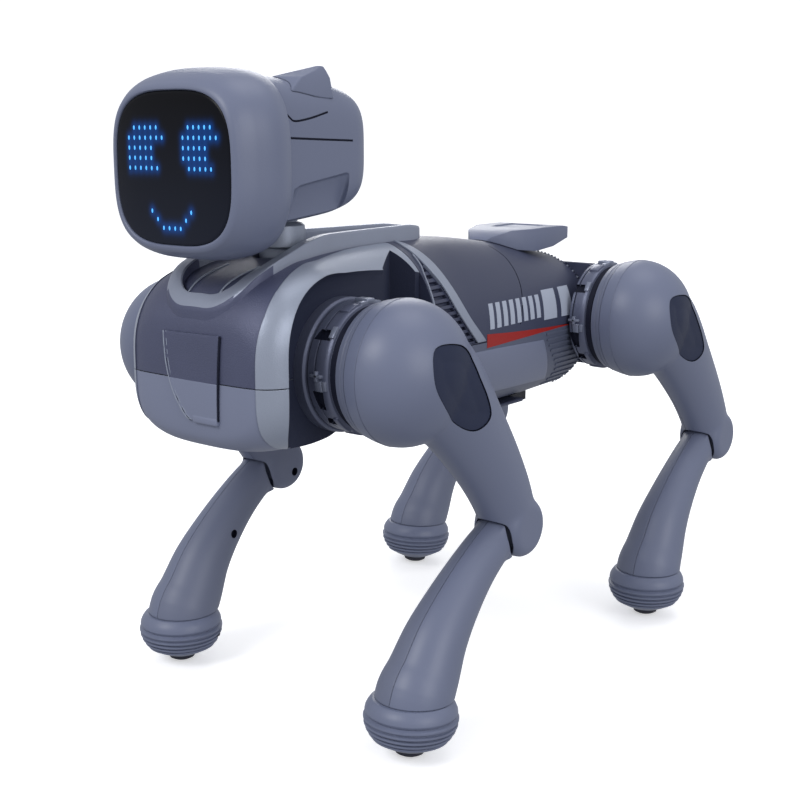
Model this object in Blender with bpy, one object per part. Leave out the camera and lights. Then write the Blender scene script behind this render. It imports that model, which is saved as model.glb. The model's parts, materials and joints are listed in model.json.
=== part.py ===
"""Walking robot dog: a moulded torso, a turning head with a lit face and four two-link legs.

Metres, +Z up. The dog faces -Y and its left side is +X. The feet stand on z = 0.
"""

import math

import bmesh
import bpy
from mathutils import Matrix, Vector

# ---- Driving dimensions, in metres ----
GAP = 0.0004                # clearance between neighbouring pieces
HIP_HEIGHT = 0.1573
FRONT_HIP_Y = -0.1065
REAR_HIP_Y = 0.0885
LEG_X = 0.0742              # parting plane of a leg, from the middle of the dog
KNEE_BACK = 0.067           # the knee from the hip
KNEE_DROP = 0.072
LOBE_RADIUS = 0.0135        # round lower end of a thigh
BALL_RADIUS = 0.0300
BALL_START_X = 0.0514
BALL_END_X = 0.0910
THIGH_WALL = 0.0027
SHIN_WALL = 0.0022
POCKET_WALL = 0.0014        # round the shin's pocket in the thigh
INLAY_THICKNESS = 0.0009
PIN_RADIUS = 0.0025
KNEE_FOLD = -8.0            # knee limits, in degrees from rest
TONGUE_RADIUS = 0.0095
TONGUE_HALF = 0.0040
ANKLE_HEIGHT = 0.0243
FOOT_RADIUS = 0.0199
PAD_RADIUS = 0.0064
PAD_HEIGHT = 0.0035
FRONT_HUB_X = 0.0366        # inner face of a front hub
REAR_HUB_X = 0.0388
HUB_OUTER_X = 0.0500
HUB_RADIUS = 0.0270
SHAFT_RADIUS = 0.0060
SIDE_WALL_X = 0.0360        # flat wall that a hub bears on
SHELL_WALL = 0.0020
SEAM_HEIGHT = 0.1550        # between the upper and lower torso shells
CHEST_END_Y = -0.0525       # between the chest and the back
BODY_END_Y = 0.0865
ARCH_CENTRE = (-0.1065, 0.1620)     # recess round a front hub, in y and z
ARCH_REACH = 0.0450
ARCH_RISE = 0.0340
ARCH_SQUARENESS = 2.6
RIM_TOP = 0.2103
NECK_Y = -0.1090
NECK_RADIUS = 0.0110

ROUND = 18                  # sides of a large round piece
LIMB_ROUND = 12             # sides of a limb
TORSO_ROUND = 24            # sides of a torso or head section
HOLLOW_ROUND = 8            # sides of the hollow inside a limb
BALL_HOLLOW_ROUND = 10
CAVITY_ROUND = 16           # sides of the hollow inside the torso and head

# Torso sections, front to back: y, half width, top z, bottom z, and squareness above
# and below the seam.
TORSO = (
    (-0.1612, 0.0280, 0.1700, 0.1390, 3.6, 3.2),
    (-0.1600, 0.0345, 0.1780, 0.1320, 3.8, 3.3),
    (-0.1545, 0.0410, 0.1875, 0.1268, 4.0, 3.3),
    (-0.1440, 0.0448, 0.1960, 0.1245, 4.2, 3.3),
    (-0.1250, 0.0455, 0.2010, 0.1235, 4.0, 3.2),
    (-0.1150, 0.0450, 0.2020, 0.1240, 3.5, 3.1),
    (-0.1050, 0.0450, 0.2030, 0.1260, 3.0, 2.8),
    (-0.0600, 0.0410, 0.2040, 0.1235, 2.4, 2.3),
    (-0.0200, 0.0387, 0.2030, 0.1150, 2.0, 2.0),
    (0.0300, 0.0380, 0.1980, 0.1140, 2.0, 2.0),
    (0.0865, 0.0372, 0.1885, 0.1155, 2.0, 2.0),
)

# Head sections, front to back: y, half width, half height, middle z and squareness.
DOME = (
    (-0.1680, 0.0335, 0.0298, 0.2372, 3.2),
    (-0.1660, 0.0355, 0.0322, 0.2374, 3.2),
    (-0.1590, 0.0387, 0.0350, 0.2377, 3.1),
    (-0.1500, 0.0405, 0.0360, 0.2380, 3.0),
    (-0.1420, 0.0380, 0.0352, 0.2384, 3.0),
    (-0.1370, 0.0325, 0.0325, 0.2390, 3.0),
)
POD = (
    (-0.1366, 0.0285, 0.0293, 0.2433, 4.5),
    (-0.0890, 0.0268, 0.0264, 0.2440, 4.5),
    (-0.0815, 0.0232, 0.0226, 0.2440, 4.0),
    (-0.0785, 0.0188, 0.0180, 0.2440, 4.0),
)

# Side view of a limb from its hip, in metres: back, up, half depth and half width across.
THIGH = (
    (-0.002, 0.004, 0.0235, 0.0120),
    (0.013, -0.007, 0.0215, 0.0150),
    (0.034, -0.0270, 0.0182, 0.0135),
    (0.051, -0.0455, 0.0160, 0.0122),
    (0.0625, -0.0620, 0.0146, 0.0118),
    (0.067, -0.0720, 0.0135, 0.0118),
)
SHIN = (
    (0.0600, -0.0745, 0.0100, 0.0091),
    (0.0530, -0.0782, 0.0102, 0.0093),
    (0.0410, -0.0864, 0.0108, 0.0100),
    (0.0267, -0.0992, 0.0122, 0.0116),
    (0.0151, -0.1125, 0.0139, 0.0136),
    (0.0079, -0.1250, 0.0155, 0.0153),
    (0.0030, ANKLE_HEIGHT - HIP_HEIGHT, 0.0165, 0.0165),
)
# Legs: name, side, hip station and how far the hip is turned at rest, in degrees.
LEGS = (
    ("front_left", 1, FRONT_HIP_Y, -3.5),
    ("front_right", -1, FRONT_HIP_Y, 0.0),
    ("rear_left", 1, REAR_HIP_Y, 0.0),
    ("rear_right", -1, REAR_HIP_Y, -3.5),
)

# Names: base colour, metallic, roughness.
FINISHES = {
    "shell": ((0.165, 0.185, 0.265), 0.0, 0.42),
    "shell_dark": ((0.075, 0.085, 0.150), 0.2, 0.45),
    "trim": ((0.300, 0.340, 0.420), 0.3, 0.40),
    "inlay": ((0.034, 0.040, 0.070), 0.0, 0.55),
    "rubber": ((0.030, 0.032, 0.050), 0.0, 0.80),
    "lens": ((0.010, 0.012, 0.020), 0.0, 0.10),
    "steel": ((0.550, 0.560, 0.580), 1.0, 0.35),
    "board": ((0.020, 0.120, 0.060), 0.0, 0.50),
    "battery": ((0.050, 0.100, 0.300), 0.0, 0.50),
    "black": ((0.015, 0.016, 0.022), 0.0, 0.50),
}


# ---- Mesh helpers ----
def clear_scene():
    for item in list(bpy.data.objects):
        bpy.data.objects.remove(item, do_unlink=True)


def add_object(name, mesh):
    item = bpy.data.objects.new(name, mesh)
    bpy.context.scene.collection.objects.link(item)
    return item


def from_bmesh(name, bm):
    bmesh.ops.recalc_face_normals(bm, faces=bm.faces)
    mesh = bpy.data.meshes.new(name)
    bm.to_mesh(mesh)
    bm.free()
    return add_object(name, mesh)


def loft(name, rings):
    """A closed solid through rings of points, with flat ends."""
    bm = bmesh.new()
    rows = [[bm.verts.new(point) for point in ring] for ring in rings]
    for lower, upper in zip(rows, rows[1:]):
        for i, vert in enumerate(lower):
            j = (i + 1) % len(lower)
            bm.faces.new((vert, lower[j], upper[j], upper[i]))
    bm.faces.new(rows[0])
    bm.faces.new(rows[-1])
    return from_bmesh(name, bm)


def box(name, low, high):
    bm = bmesh.new()
    bmesh.ops.create_cube(bm, size=1.0)
    size = Vector(high) - Vector(low)
    middle = (Vector(high) + Vector(low)) / 2
    for vert in bm.verts:
        vert.co = Vector(a * b for a, b in zip(vert.co, size)) + middle
    return from_bmesh(name, bm)


def rounded_box(name, low, high, width):
    item = box(name, low, high)
    bevel = item.modifiers.new("Rounded edges", "BEVEL")
    bevel.width = width
    bevel.segments = 1
    bake(item)
    return item


def turned(name, profile, axis, centre, sides=ROUND):
    """A solid of revolution: profile points are (distance along the axis, radius)."""
    along = Vector(axis)
    across = Vector((0, 0, 1)) if abs(along.z) < 0.5 else Vector((0, 1, 0))
    third = along.cross(across)
    rings = []
    for distance, radius in profile:
        ring = []
        for i in range(sides):
            turn = 2 * math.pi * (i + 0.5) / sides
            spoke = across * math.cos(turn) + third * math.sin(turn)
            ring.append(Vector(centre) + along * distance + spoke * radius)
        rings.append(ring)
    return loft(name, rings)


def rod(name, axis, centre, start, end, radius, sides=ROUND):
    return turned(name, ((start, radius), (end, radius)), axis, centre, sides)


def extruded(name, outline, low, high, axis):
    """A prism over a flat outline, from low to high along the axis."""
    def place(point, height):
        if axis == "X":
            return Vector((height, point[0], point[1]))
        if axis == "Y":
            return Vector((point[0], height, point[1]))
        return Vector((point[0], point[1], height))

    rings = [[place(point, height) for point in outline] for height in (low, high)]
    return loft(name, rings)


def bake(item):
    """Applies an object's modifiers."""
    graph = bpy.context.evaluated_depsgraph_get()
    old = item.data
    item.data = bpy.data.meshes.new_from_object(item.evaluated_get(graph))
    item.modifiers.clear()
    bpy.data.meshes.remove(old)


def combine(item, other, operation):
    boolean = item.modifiers.new(operation.title(), "BOOLEAN")
    boolean.operation = operation
    boolean.solver = "EXACT"
    boolean.object = other
    bake(item)
    bpy.data.objects.remove(other, do_unlink=True)
    return item


def cut(item, other):
    return combine(item, other, "DIFFERENCE")


def join(item, other):
    return combine(item, other, "UNION")


def keep(item, other):
    return combine(item, other, "INTERSECT")


def copy_of(item, name, side=1):
    """A copy with its own mesh, mirrored to the other flank where side is -1."""
    mesh = item.data.copy()
    if side < 0:
        mesh.transform(Matrix.Scale(-1, 4, (1, 0, 0)))
        mesh.flip_normals()
    mesh.name = name
    return add_object(name, mesh)


def move_mesh(item, offset):
    item.data.transform(Matrix.Translation(offset))


def finish(item, finish_name, smooth=True):
    """Gives a piece its own material and its shading."""
    colour, metallic, roughness = FINISHES[finish_name]
    material = bpy.data.materials.new(item.name)
    material.use_nodes = True
    shader = material.node_tree.nodes["Principled BSDF"]
    shader.inputs["Base Color"].default_value = (*colour, 1.0)
    shader.inputs["Metallic"].default_value = metallic
    shader.inputs["Roughness"].default_value = roughness
    item.data.materials.clear()
    item.data.materials.append(material)
    if smooth:
        item.data.shade_smooth()
        item.data.set_sharp_from_angle(angle=math.radians(35))
    return item


def empty(name, location, parent=None):
    item = add_object(name, None)
    item.location = location
    item.parent = parent
    return item


# ---- Torso ----
def torso_ring(section, offset, widest=1.0, sides=TORSO_ROUND):
    """One torso section grown by offset and no wider than widest."""
    y, width, top, bottom, upper_square, lower_square = section
    half = min(width + offset, widest)
    ring = []
    for i in range(sides):
        turn = 2 * math.pi * (i + 0.5) / sides
        c = math.cos(turn)
        s = math.sin(turn)
        reach = top - SEAM_HEIGHT if s > 0 else SEAM_HEIGHT - bottom
        squareness = upper_square if s > 0 else lower_square
        x = half * math.copysign(abs(c) ** (2 / squareness), c)
        z = (reach + offset) * math.copysign(abs(s) ** (2 / squareness), s)
        ring.append(Vector((x, y, SEAM_HEIGHT + z)))
    return ring


def torso_solid(name, offset, widest=1.0, sides=TORSO_ROUND):
    """The torso's outer form, grown or shrunk all round by offset."""
    rings = [torso_ring(section, offset, widest, sides) for section in TORSO]
    for point in rings[0]:
        point.y -= offset
    for point in rings[-1]:
        point.y += offset
    return loft(name, rings)


def torso_shell(name, front, back, low, high):
    """Part of the torso's wall between two stations and two heights."""
    shell = torso_solid(name, 0.0)
    widest = SIDE_WALL_X - SHELL_WALL
    cut(shell, torso_solid("inside", -SHELL_WALL, widest, CAVITY_ROUND))
    return keep(shell, box("slab", (-0.1, front, low), (0.1, back, high)))


def arch_outline():
    """The recess round a front hub in y and z: open below and behind."""
    middle_y, middle_z = ARCH_CENTRE
    points = [(CHEST_END_Y + 0.01, 0.10), (middle_y - ARCH_REACH, 0.10)]
    steps = 8
    for i in range(steps + 1):
        turn = math.radians(90 * i / steps)
        across = math.cos(turn) ** (2 / ARCH_SQUARENESS)
        rise = math.sin(turn) ** (2 / ARCH_SQUARENESS)
        points.append((middle_y - ARCH_REACH * across, middle_z + ARCH_RISE * rise))
    return [*points, (CHEST_END_Y + 0.01, middle_z + ARCH_RISE + 0.0030)]


def cut_hub_arches(shell):
    """The recesses at the sides that the front hubs sit in."""
    for side in (1, -1):
        ends = sorted((side * SIDE_WALL_X, side * 0.08))
        cut(shell, extruded("arch", arch_outline(), *ends, "X"))
    return shell


def make_chest():
    front = TORSO[0][0] - 0.01
    back = CHEST_END_Y - GAP / 2
    seam = SEAM_HEIGHT
    upper = torso_shell("chest_upper_shell", front, back, seam + GAP / 2, 0.3)
    lower = torso_shell("chest_lower_shell", front, back, 0.0, seam - GAP / 2)
    cut(upper, rod("neck_hole", (0, 0, 1), (0, NECK_Y, 0), 0.19, 0.22, NECK_RADIUS))
    for shell in (upper, lower):
        cut_hub_arches(shell)
    return finish(upper, "shell_dark"), finish(lower, "shell")


def surface_plate(name, inner, outer, outline_solid):
    """A plate that follows the torso, between two distances outside it."""
    plate = torso_solid(name, outer)
    cut(plate, torso_solid("under", inner))
    return keep(plate, outline_solid)


def make_chest_hatch():
    """The shield-shaped door in the middle of the chest."""
    outline = (
        (-0.0150, 0.1735),
        (0.0165, 0.1740),
        (0.0150, 0.1390),
        (-0.0010, 0.1390),
        (-0.0092, 0.1490),
        (-0.0127, 0.1610),
    )
    door = extruded("door", outline, -0.2, -0.135, "Y")
    return finish(surface_plate("chest_hatch", GAP, 0.0012, door), "shell")


def mirrored_outline(half):
    """A closed outline in x and y from its left half, given front to back."""
    return [*half, *[(-x, y) for x, y in reversed(half)]]


def make_neck_rim():
    """The raised rim round the neck well: broad at the chest's brow, narrow at its tail."""
    outline = (
        (0.0100, -0.1588),
        (0.0195, -0.1545),
        (0.0245, -0.1430),
        (0.0240, -0.1300),
        (0.0200, -0.1100),
        (0.0145, -0.0800),
        (0.0110, -0.0500),
        (0.0085, -0.0270),
        (0.0040, -0.0175),
    )
    inner = (
        (0.0075, -0.1538),
        (0.0145, -0.1500),
        (0.0185, -0.1400),
        (0.0180, -0.1300),
        (0.0147, -0.1100),
        (0.0100, -0.0800),
        (0.0073, -0.0500),
        (0.0050, -0.0300),
        (0.0022, -0.0230),
    )
    rim = extruded("neck_rim", mirrored_outline(outline), 0.170, 0.22, "Z")
    cut(rim, extruded("hole", mirrored_outline(inner), 0.16, 0.23, "Z"))
    side_view = (
        (-0.170, 0.1500),
        (0.010, 0.1500),
        (0.010, 0.2050),
        (-0.014, 0.2080),
        (-0.035, RIM_TOP),
        (-0.095, RIM_TOP),
        (-0.110, 0.2085),
        (-0.125, 0.2045),
        (-0.145, 0.1975),
        (-0.1545, 0.1895),
        (-0.160, 0.1815),
        (-0.165, 0.1745),
    )
    keep(rim, extruded("side_view", side_view, -0.1, 0.1, "X"))
    return finish(cut(rim, torso_solid("under", GAP)), "trim")


def make_back():
    front = CHEST_END_Y + GAP / 2
    seam = SEAM_HEIGHT
    upper = torso_shell("back_upper_shell", front, BODY_END_Y, seam + GAP / 2, 0.3)
    lower = torso_shell("belly_shell", front, BODY_END_Y, 0.0, seam - GAP / 2)
    cut(lower, box("battery_bay", (-0.0204, -0.0184, 0.10), (0.0204, 0.0504, 0.130)))
    cut(lower, box("port_hole", (-0.0082, 0.0576, 0.10), (0.0082, 0.0714, 0.130)))
    return finish(upper, "shell_dark"), finish(lower, "shell")


def make_battery_cover():
    low = (-0.0200, -0.0180, 0.1144)
    high = (0.0200, 0.0500, 0.1162)
    return finish(rounded_box("battery_cover", low, high, 0.0005), "shell_dark")


def make_port_and_switch():
    """The charging port block under the belly, with a slide switch in its slot."""
    low, high = Vector((-0.0078, 0.0580, 0.1105)), Vector((0.0078, 0.0710, 0.1190))
    block = box("charging_port", low, high)
    slot_y = low.y + 0.0040
    cut(block, box("slot", (-0.0060, slot_y - 0.0015, 0.1), (0.0060, slot_y + 0.0015, 0.1145)))
    socket = rod("socket", (0, 0, 1), (0, high.y - 0.0035, 0), 0.105, 0.1165, 0.0016, 10)
    cut(block, socket)
    switch = box("power_switch", (-0.0020, -0.0012, -0.0026), (0.0020, 0.0012, 0.0020))
    switch.location = (-0.0035, slot_y, 0.1120)
    return finish(block, "black", False), finish(switch, "trim", False)


def make_rump():
    """The housing across the tail end that carries the rear hubs."""
    end = REAR_HUB_X - GAP
    profile = ((-end, 0.024), (-0.035, 0.0265), (0.035, 0.0265), (end, 0.024))
    centre = (0, REAR_HIP_Y + 0.0185, HIP_HEIGHT)
    shell = turned("rump_shell", profile, (1, 0, 0), (0, REAR_HIP_Y, HIP_HEIGHT))
    low = (-0.0345, BODY_END_Y + GAP, 0.1330)
    high = (0.0345, centre[1] + 0.004, 0.1790)
    join(shell, rounded_box("block", low, high, 0.006))
    hollow = rod("hollow", (1, 0, 0), (0, REAR_HIP_Y, HIP_HEIGHT), -0.1, 0.1, 0.0215)
    cut(shell, hollow)
    behind = box("behind", (-0.1, 0.0, 0.0), (0.1, BODY_END_Y + GAP, 0.3))
    return finish(cut(shell, behind), "shell_dark")


def make_gearboxes():
    """The geared motor blocks between the two hips of each pair."""
    made = []
    for name, front, half in (
        ("front_gearbox", FRONT_HIP_Y - 0.0070, 0.0300),
        ("rear_gearbox", REAR_HIP_Y - 0.0010, 0.0320),
    ):
        low = (-half, front, HIP_HEIGHT - 0.0140)
        high = (half, front + 0.0150, HIP_HEIGHT + 0.0120)
        made.append(finish(rounded_box(name, low, high, 0.002), "black"))
    return made


def make_tail_fin():
    """The low spoiler over the tail end."""
    outline = (
        (0.034, 0.1968),
        (0.046, 0.2025),
        (0.085, 0.2030),
        (0.090, 0.2020),
        (0.090, 0.1965),
        (0.076, 0.1925),
        (0.060, 0.1910),
        (0.040, 0.1930),
    )
    fin = extruded("tail_fin", outline, -0.020, 0.020, "X")
    plan = ((-0.007, 0.034), (0.007, 0.034), (0.020, 0.062), (0.020, 0.092))
    plan += ((-0.020, 0.092), (-0.020, 0.062))
    keep(fin, extruded("plan", plan, 0.1, 0.3, "Z"))
    return finish(cut(fin, torso_solid("body", GAP)), "shell")


def make_internals():
    """Battery, control board, speaker and the motor that turns the neck."""
    pack = rounded_box(
        "battery_pack", (-0.0170, -0.0140, 0.1185), (0.0170, 0.0460, 0.1345), 0.003
    )
    board = box("main_board", (-0.0240, -0.0350, 0.1440), (0.0240, 0.0550, 0.1456))
    speaker = turned(
        "speaker",
        ((0.0, 0.0125), (0.002, 0.0125), (0.006, 0.006), (0.009, 0.006)),
        (0, 0, 1),
        (0, 0.0200, 0.1500),
    )
    servo = rounded_box(
        "neck_servo", (-0.0110, -0.1210, 0.1750), (0.0110, -0.0970, 0.1925), 0.0015
    )
    finish(pack, "battery")
    finish(board, "board", False)
    finish(speaker, "black")
    finish(servo, "black")
    return pack, board, speaker, servo


# ---- Head ----
def head_ring(section, offset, sides=TORSO_ROUND):
    y, width, height, middle, squareness = section
    ring = []
    for i in range(sides):
        turn = 2 * math.pi * (i + 0.5) / sides
        c = math.cos(turn)
        s = math.sin(turn)
        x = (width + offset) * math.copysign(abs(c) ** (2 / squareness), c)
        z = (height + offset) * math.copysign(abs(s) ** (2 / squareness), s)
        ring.append(Vector((x, y, middle + z)))
    return ring


def head_solid(name, sections, offset, shifts=(0.0, 0.0), sides=TORSO_ROUND):
    """A head form grown by offset, with its front and back moved along Y by shifts."""
    rings = [head_ring(section, offset, sides) for section in sections]
    front_shift, back_shift = shifts
    for point in rings[0]:
        point.y += front_shift
    for point in rings[-1]:
        point.y += back_shift
    return loft(name, rings)


def make_face():
    """The face shell, its dark screen and the lamp board behind the screen."""
    shell = head_solid("face_shell", DOME, 0.0)
    wall = SHELL_WALL
    cut(shell, head_solid("inside", DOME, -wall, (-0.002, -wall - 0.0005)))
    back_opening = rod("opening", (0, 1, 0), (0, 0, 0.2410), -0.150, -0.12, 0.016)
    cut(shell, back_opening)
    screen_ring = head_ring(DOME[0], -wall - GAP)
    front = [point + Vector((0, 0.0004, 0)) for point in screen_ring]
    back = [point + Vector((0, 0.0026, 0)) for point in screen_ring]
    centre = Vector((0, 0, DOME[0][3]))
    swell = [
        Vector((p.x * 0.9, p.y - 0.0007, centre.z + (p.z - centre.z) * 0.9)) for p in front
    ]
    lens = loft("screen_lens", (swell, front, back))
    board = box("led_board", (-0.0260, -0.1645, 0.2150), (0.0260, -0.1629, 0.2590))
    finish(shell, "shell")
    finish(lens, "lens")
    finish(board, "board", False)
    return shell, lens, board


def make_pod():
    """The box behind the face, with the neck post below it."""
    pod = head_solid("head_rear_shell", POD, 0.0)
    shifts = (-0.002, -SHELL_WALL)
    cut(pod, head_solid("inside", POD, -SHELL_WALL, shifts, CAVITY_ROUND))
    cut(pod, head_solid("face", DOME, GAP, (0.0, GAP)))
    chin = rod("post_hole", (0, 0, 1), (0, NECK_Y, 0), 0.20, 0.222, NECK_RADIUS - 0.003)
    cut(pod, chin)
    post = turned(
        "neck_post",
        (
            (0.1932, NECK_RADIUS - 0.0025),
            (0.2040, NECK_RADIUS - 0.0025),
            (0.2042, NECK_RADIUS),
            (0.2140, NECK_RADIUS),
            (0.2142, NECK_RADIUS - 0.0035),
            (0.2210, NECK_RADIUS - 0.0035),
        ),
        (0, 0, 1),
        (0, NECK_Y, 0),
    )
    return finish(pod, "shell"), finish(post, "shell")


def make_ears():
    """A pointed fin on each top edge of the pod."""
    made = []
    for name, side in (("ear_left", 1), ("ear_right", -1)):
        base = ((0.013, -0.1340), (0.026, -0.1320), (0.026, -0.1035), (0.014, -0.1035))
        tip = ((0.0212, -0.1170), (0.0234, -0.1170), (0.0234, -0.1062), (0.0212, -0.1062))
        rings = []
        for outline, z in ((base, 0.2660), (tip, 0.2768)):
            rings.append([Vector((side * x, y, z)) for x, y in outline])
        ear = loft(name, rings)
        cut(ear, head_solid("pod", POD, GAP, (0.0, GAP)))
        cut(ear, head_solid("face", DOME, GAP, (0.0, GAP)))
        made.append(finish(ear, "shell"))
    return made


# ---- Legs: left-hand pieces measured from the hip, then copied to each corner ----
def limb_rings(stations, offset, level_end=False, sides=LIMB_ROUND):
    """Rings square to a limb's middle line, each an ellipse across the leg."""
    middles = [Vector((LEG_X, back, up)) for back, up, _, _ in stations]
    rings = []
    for i, (_, _, depth, width) in enumerate(stations):
        before = middles[max(i - 1, 0)]
        after = middles[min(i + 1, len(middles) - 1)]
        along = (after - before).normalized()
        if level_end and i == len(stations) - 1:
            along = Vector((0, 0, -1))
        normal = Vector((0, -along.z, along.y))
        ring = []
        for k in range(sides):
            turn = 2 * math.pi * (k + 0.5) / sides
            across = Vector((math.cos(turn) * (width - offset), 0, 0))
            ring.append(middles[i] + across + normal * (math.sin(turn) * (depth - offset)))
        rings.append(ring)
    return rings


def thigh_solid(name, offset, ball_sides=ROUND, limb_sides=LIMB_ROUND):
    """The hip ball with the tapering limb and its round lower lobe, shrunk by offset."""
    profile = []
    steps = 4
    middle = 0.0640
    for i in range(steps + 1):
        turn = math.radians(90 * i / steps)
        reach = (BALL_END_X - middle - offset) * math.sin(turn)
        radius = max((BALL_RADIUS - offset) * math.cos(turn), 0.003)
        profile.append((middle + reach, radius))
    profile.insert(0, (BALL_START_X + offset, 0.0275 - offset))
    ball = turned(name, profile, (1, 0, 0), (0, 0, 0), ball_sides)
    limb = loft("limb", limb_rings(THIGH, offset, False, limb_sides))
    knee = (LEG_X, KNEE_BACK, -KNEE_DROP)
    half = THIGH[-1][3] - offset
    radius = LOBE_RADIUS - offset
    lobe_profile = (
        (-half, radius * 0.72),
        (-half * 0.72, radius),
        (half * 0.72, radius),
        (half, radius * 0.72),
    )
    join(limb, turned("lobe", lobe_profile, (1, 0, 0), knee, ball_sides))
    return join(ball, limb)


def inlay_outline(offset):
    """The bean-shaped panel on the outside of a thigh, in back and up."""
    points = []
    for centre, radius, start, end in (
        ((-0.0005, 0.0015), 0.0125, 35, 200),
        ((0.0185, -0.0130), 0.0100, 215, 395),
    ):
        for i in range(6):
            turn = math.radians(start + (end - start) * i / 5)
            r = radius - offset
            back = centre[0] + r * math.cos(turn)
            points.append((back, centre[1] + r * math.sin(turn)))
    return points


def knee_slot():
    """The mouth that the shin's tongue swings through."""
    centre = Vector((LEG_X, KNEE_BACK, -KNEE_DROP))
    half = TONGUE_HALF + 0.0006
    outline = [(centre.y, centre.z)]
    for i in range(7):
        turn = math.radians(165 + 110 * i / 6)
        back = centre.y + 0.024 * math.cos(turn)
        outline.append((back, centre.z + 0.024 * math.sin(turn)))
    return extruded("slot", outline, centre.x - half, centre.x + half, "X")


def knee_pocket(clearance):
    """The room that the top of the shin needs in front of the thigh as it folds."""
    knee = Vector((0, KNEE_BACK, -KNEE_DROP))
    pocket = None
    for share in (1.0, 0.0):
        tube = shin_solid("tube", -clearance, SHIN[:4], HOLLOW_ROUND)
        turn = Matrix.Rotation(math.radians(KNEE_FOLD * share), 4, "X")
        tube.data.transform(Matrix.Translation(knee) @ turn @ Matrix.Translation(-knee))
        pocket = join(pocket, tube) if pocket else tube
    return pocket


def make_thigh_patterns():
    shell = thigh_solid("thigh", 0.0)
    cut(shell, knee_pocket(0.0006))
    bean = extruded("bean", inlay_outline(-0.0004), 0.075, 0.1, "X")
    cut(bean, thigh_solid("floor", INLAY_THICKNESS + GAP + 0.0003))
    cut(shell, bean)
    hollow = thigh_solid("hollow", THIGH_WALL, BALL_HOLLOW_ROUND, HOLLOW_ROUND)
    cut(hollow, knee_pocket(0.0006 + POCKET_WALL))
    cut(shell, hollow)
    cut(shell, knee_slot())
    hole = rod("hole", (1, 0, 0), (0, 0, 0), 0.045, 0.06, SHAFT_RADIUS + 0.0006)
    cut(shell, hole)
    outer = copy_of(shell, "outer")
    keep(outer, box("out", (LEG_X + GAP / 2, -0.2, -0.2), (0.2, 0.2, 0.2)))
    keep(shell, box("in", (0.0, -0.2, -0.2), (LEG_X - GAP / 2, 0.2, 0.2)))
    inlay = extruded("inlay", inlay_outline(0.0), 0.075, 0.1, "X")
    keep(inlay, thigh_solid("skin", 0.0003))
    cut(inlay, thigh_solid("floor", 0.0003 + INLAY_THICKNESS))
    return outer, shell, inlay


def shin_solid(name, offset, stations=SHIN, sides=LIMB_ROUND):
    knee = (0, KNEE_BACK, -KNEE_DROP)
    solid = loft(name, limb_rings(stations, offset, stations is SHIN, sides))
    clear = LOBE_RADIUS + 0.0006 + offset
    return cut(solid, rod("lobe", (1, 0, 0), knee, 0.05, 0.1, clear, ROUND))


def tongue_half(low, high):
    """Half of the flat tongue that turns on the knee pin."""
    knee = Vector((0, KNEE_BACK, -KNEE_DROP))
    tongue = rod("tongue", (1, 0, 0), knee, low, high, TONGUE_RADIUS, 16)
    reach = Vector((0, SHIN[1][0], SHIN[1][1])) - knee
    along = reach.normalized()
    normal = Vector((0, -along.z, along.y))
    outline = []
    for distance, height in ((0.0, -0.006), (0.0205, -0.006), (0.0205, 0.006), (0.0, 0.006)):
        point = knee + along * distance + normal * height
        outline.append((point.y, point.z))
    join(tongue, extruded("arm", outline, low, high, "X"))
    hole = rod("hole", (1, 0, 0), knee, 0.05, 0.1, PIN_RADIUS + 0.0003, 12)
    return cut(tongue, hole)


def make_shin_patterns():
    shell = shin_solid("shin", 0.0)
    inside = shin_solid("hollow", SHIN_WALL, SHIN, HOLLOW_ROUND)
    above_ankle = ANKLE_HEIGHT - HIP_HEIGHT + SHIN_WALL
    keep(inside, box("above", (0, -0.2, above_ankle), (0.2, 0.2, 0.2)))
    cut(shell, inside)
    middle_low = LEG_X - GAP / 2
    middle_high = LEG_X + GAP / 2
    outer = copy_of(shell, "outer")
    keep(outer, box("out", (middle_high, -0.2, -0.2), (0.2, 0.2, 0.2)))
    keep(shell, box("in", (0.0, -0.2, -0.2), (middle_low, 0.2, 0.2)))
    join(outer, tongue_half(middle_high, LEG_X + TONGUE_HALF))
    join(shell, tongue_half(LEG_X - TONGUE_HALF, middle_low))
    return outer, shell


def make_foot_patterns():
    """The ribbed boot and the soft pad under it."""
    shin_x = LEG_X
    centre = (shin_x, SHIN[-1][0], -HIP_HEIGHT)
    profile = (
        (ANKLE_HEIGHT - GAP, 0.0163),
        (0.0190, 0.0192),
        (0.0178, 0.0184),
        (0.0163, FOOT_RADIUS),
        (0.0132, 0.0190),
        (0.0120, 0.0178),
        (0.0070, 0.0160),
        (0.0010, 0.0080),
    )
    boot = turned("boot", profile, (0, 0, 1), centre, 18)
    recess = rod("recess", (0, 0, 1), centre, -0.01, PAD_HEIGHT + GAP, PAD_RADIUS + GAP, 14)
    cut(boot, recess)
    pad_profile = ((0.0, PAD_RADIUS - 0.0012), (0.0010, PAD_RADIUS), (PAD_HEIGHT, PAD_RADIUS))
    pad = turned("pad", pad_profile, (0, 0, 1), centre, 14)
    return boot, pad


def make_hub_pattern(inner_x):
    """The ringed drum of a hip, with its output shaft."""
    profile = (
        (inner_x, HUB_RADIUS - 0.0010),
        (inner_x + 0.0015, HUB_RADIUS),
        (0.0478, HUB_RADIUS),
        (HUB_OUTER_X, HUB_RADIUS - 0.0012),
        (HUB_OUTER_X + 0.0002, SHAFT_RADIUS),
        (0.0620, SHAFT_RADIUS),
    )
    return turned("hub", profile, (1, 0, 0), (0, 0, 0))


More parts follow.
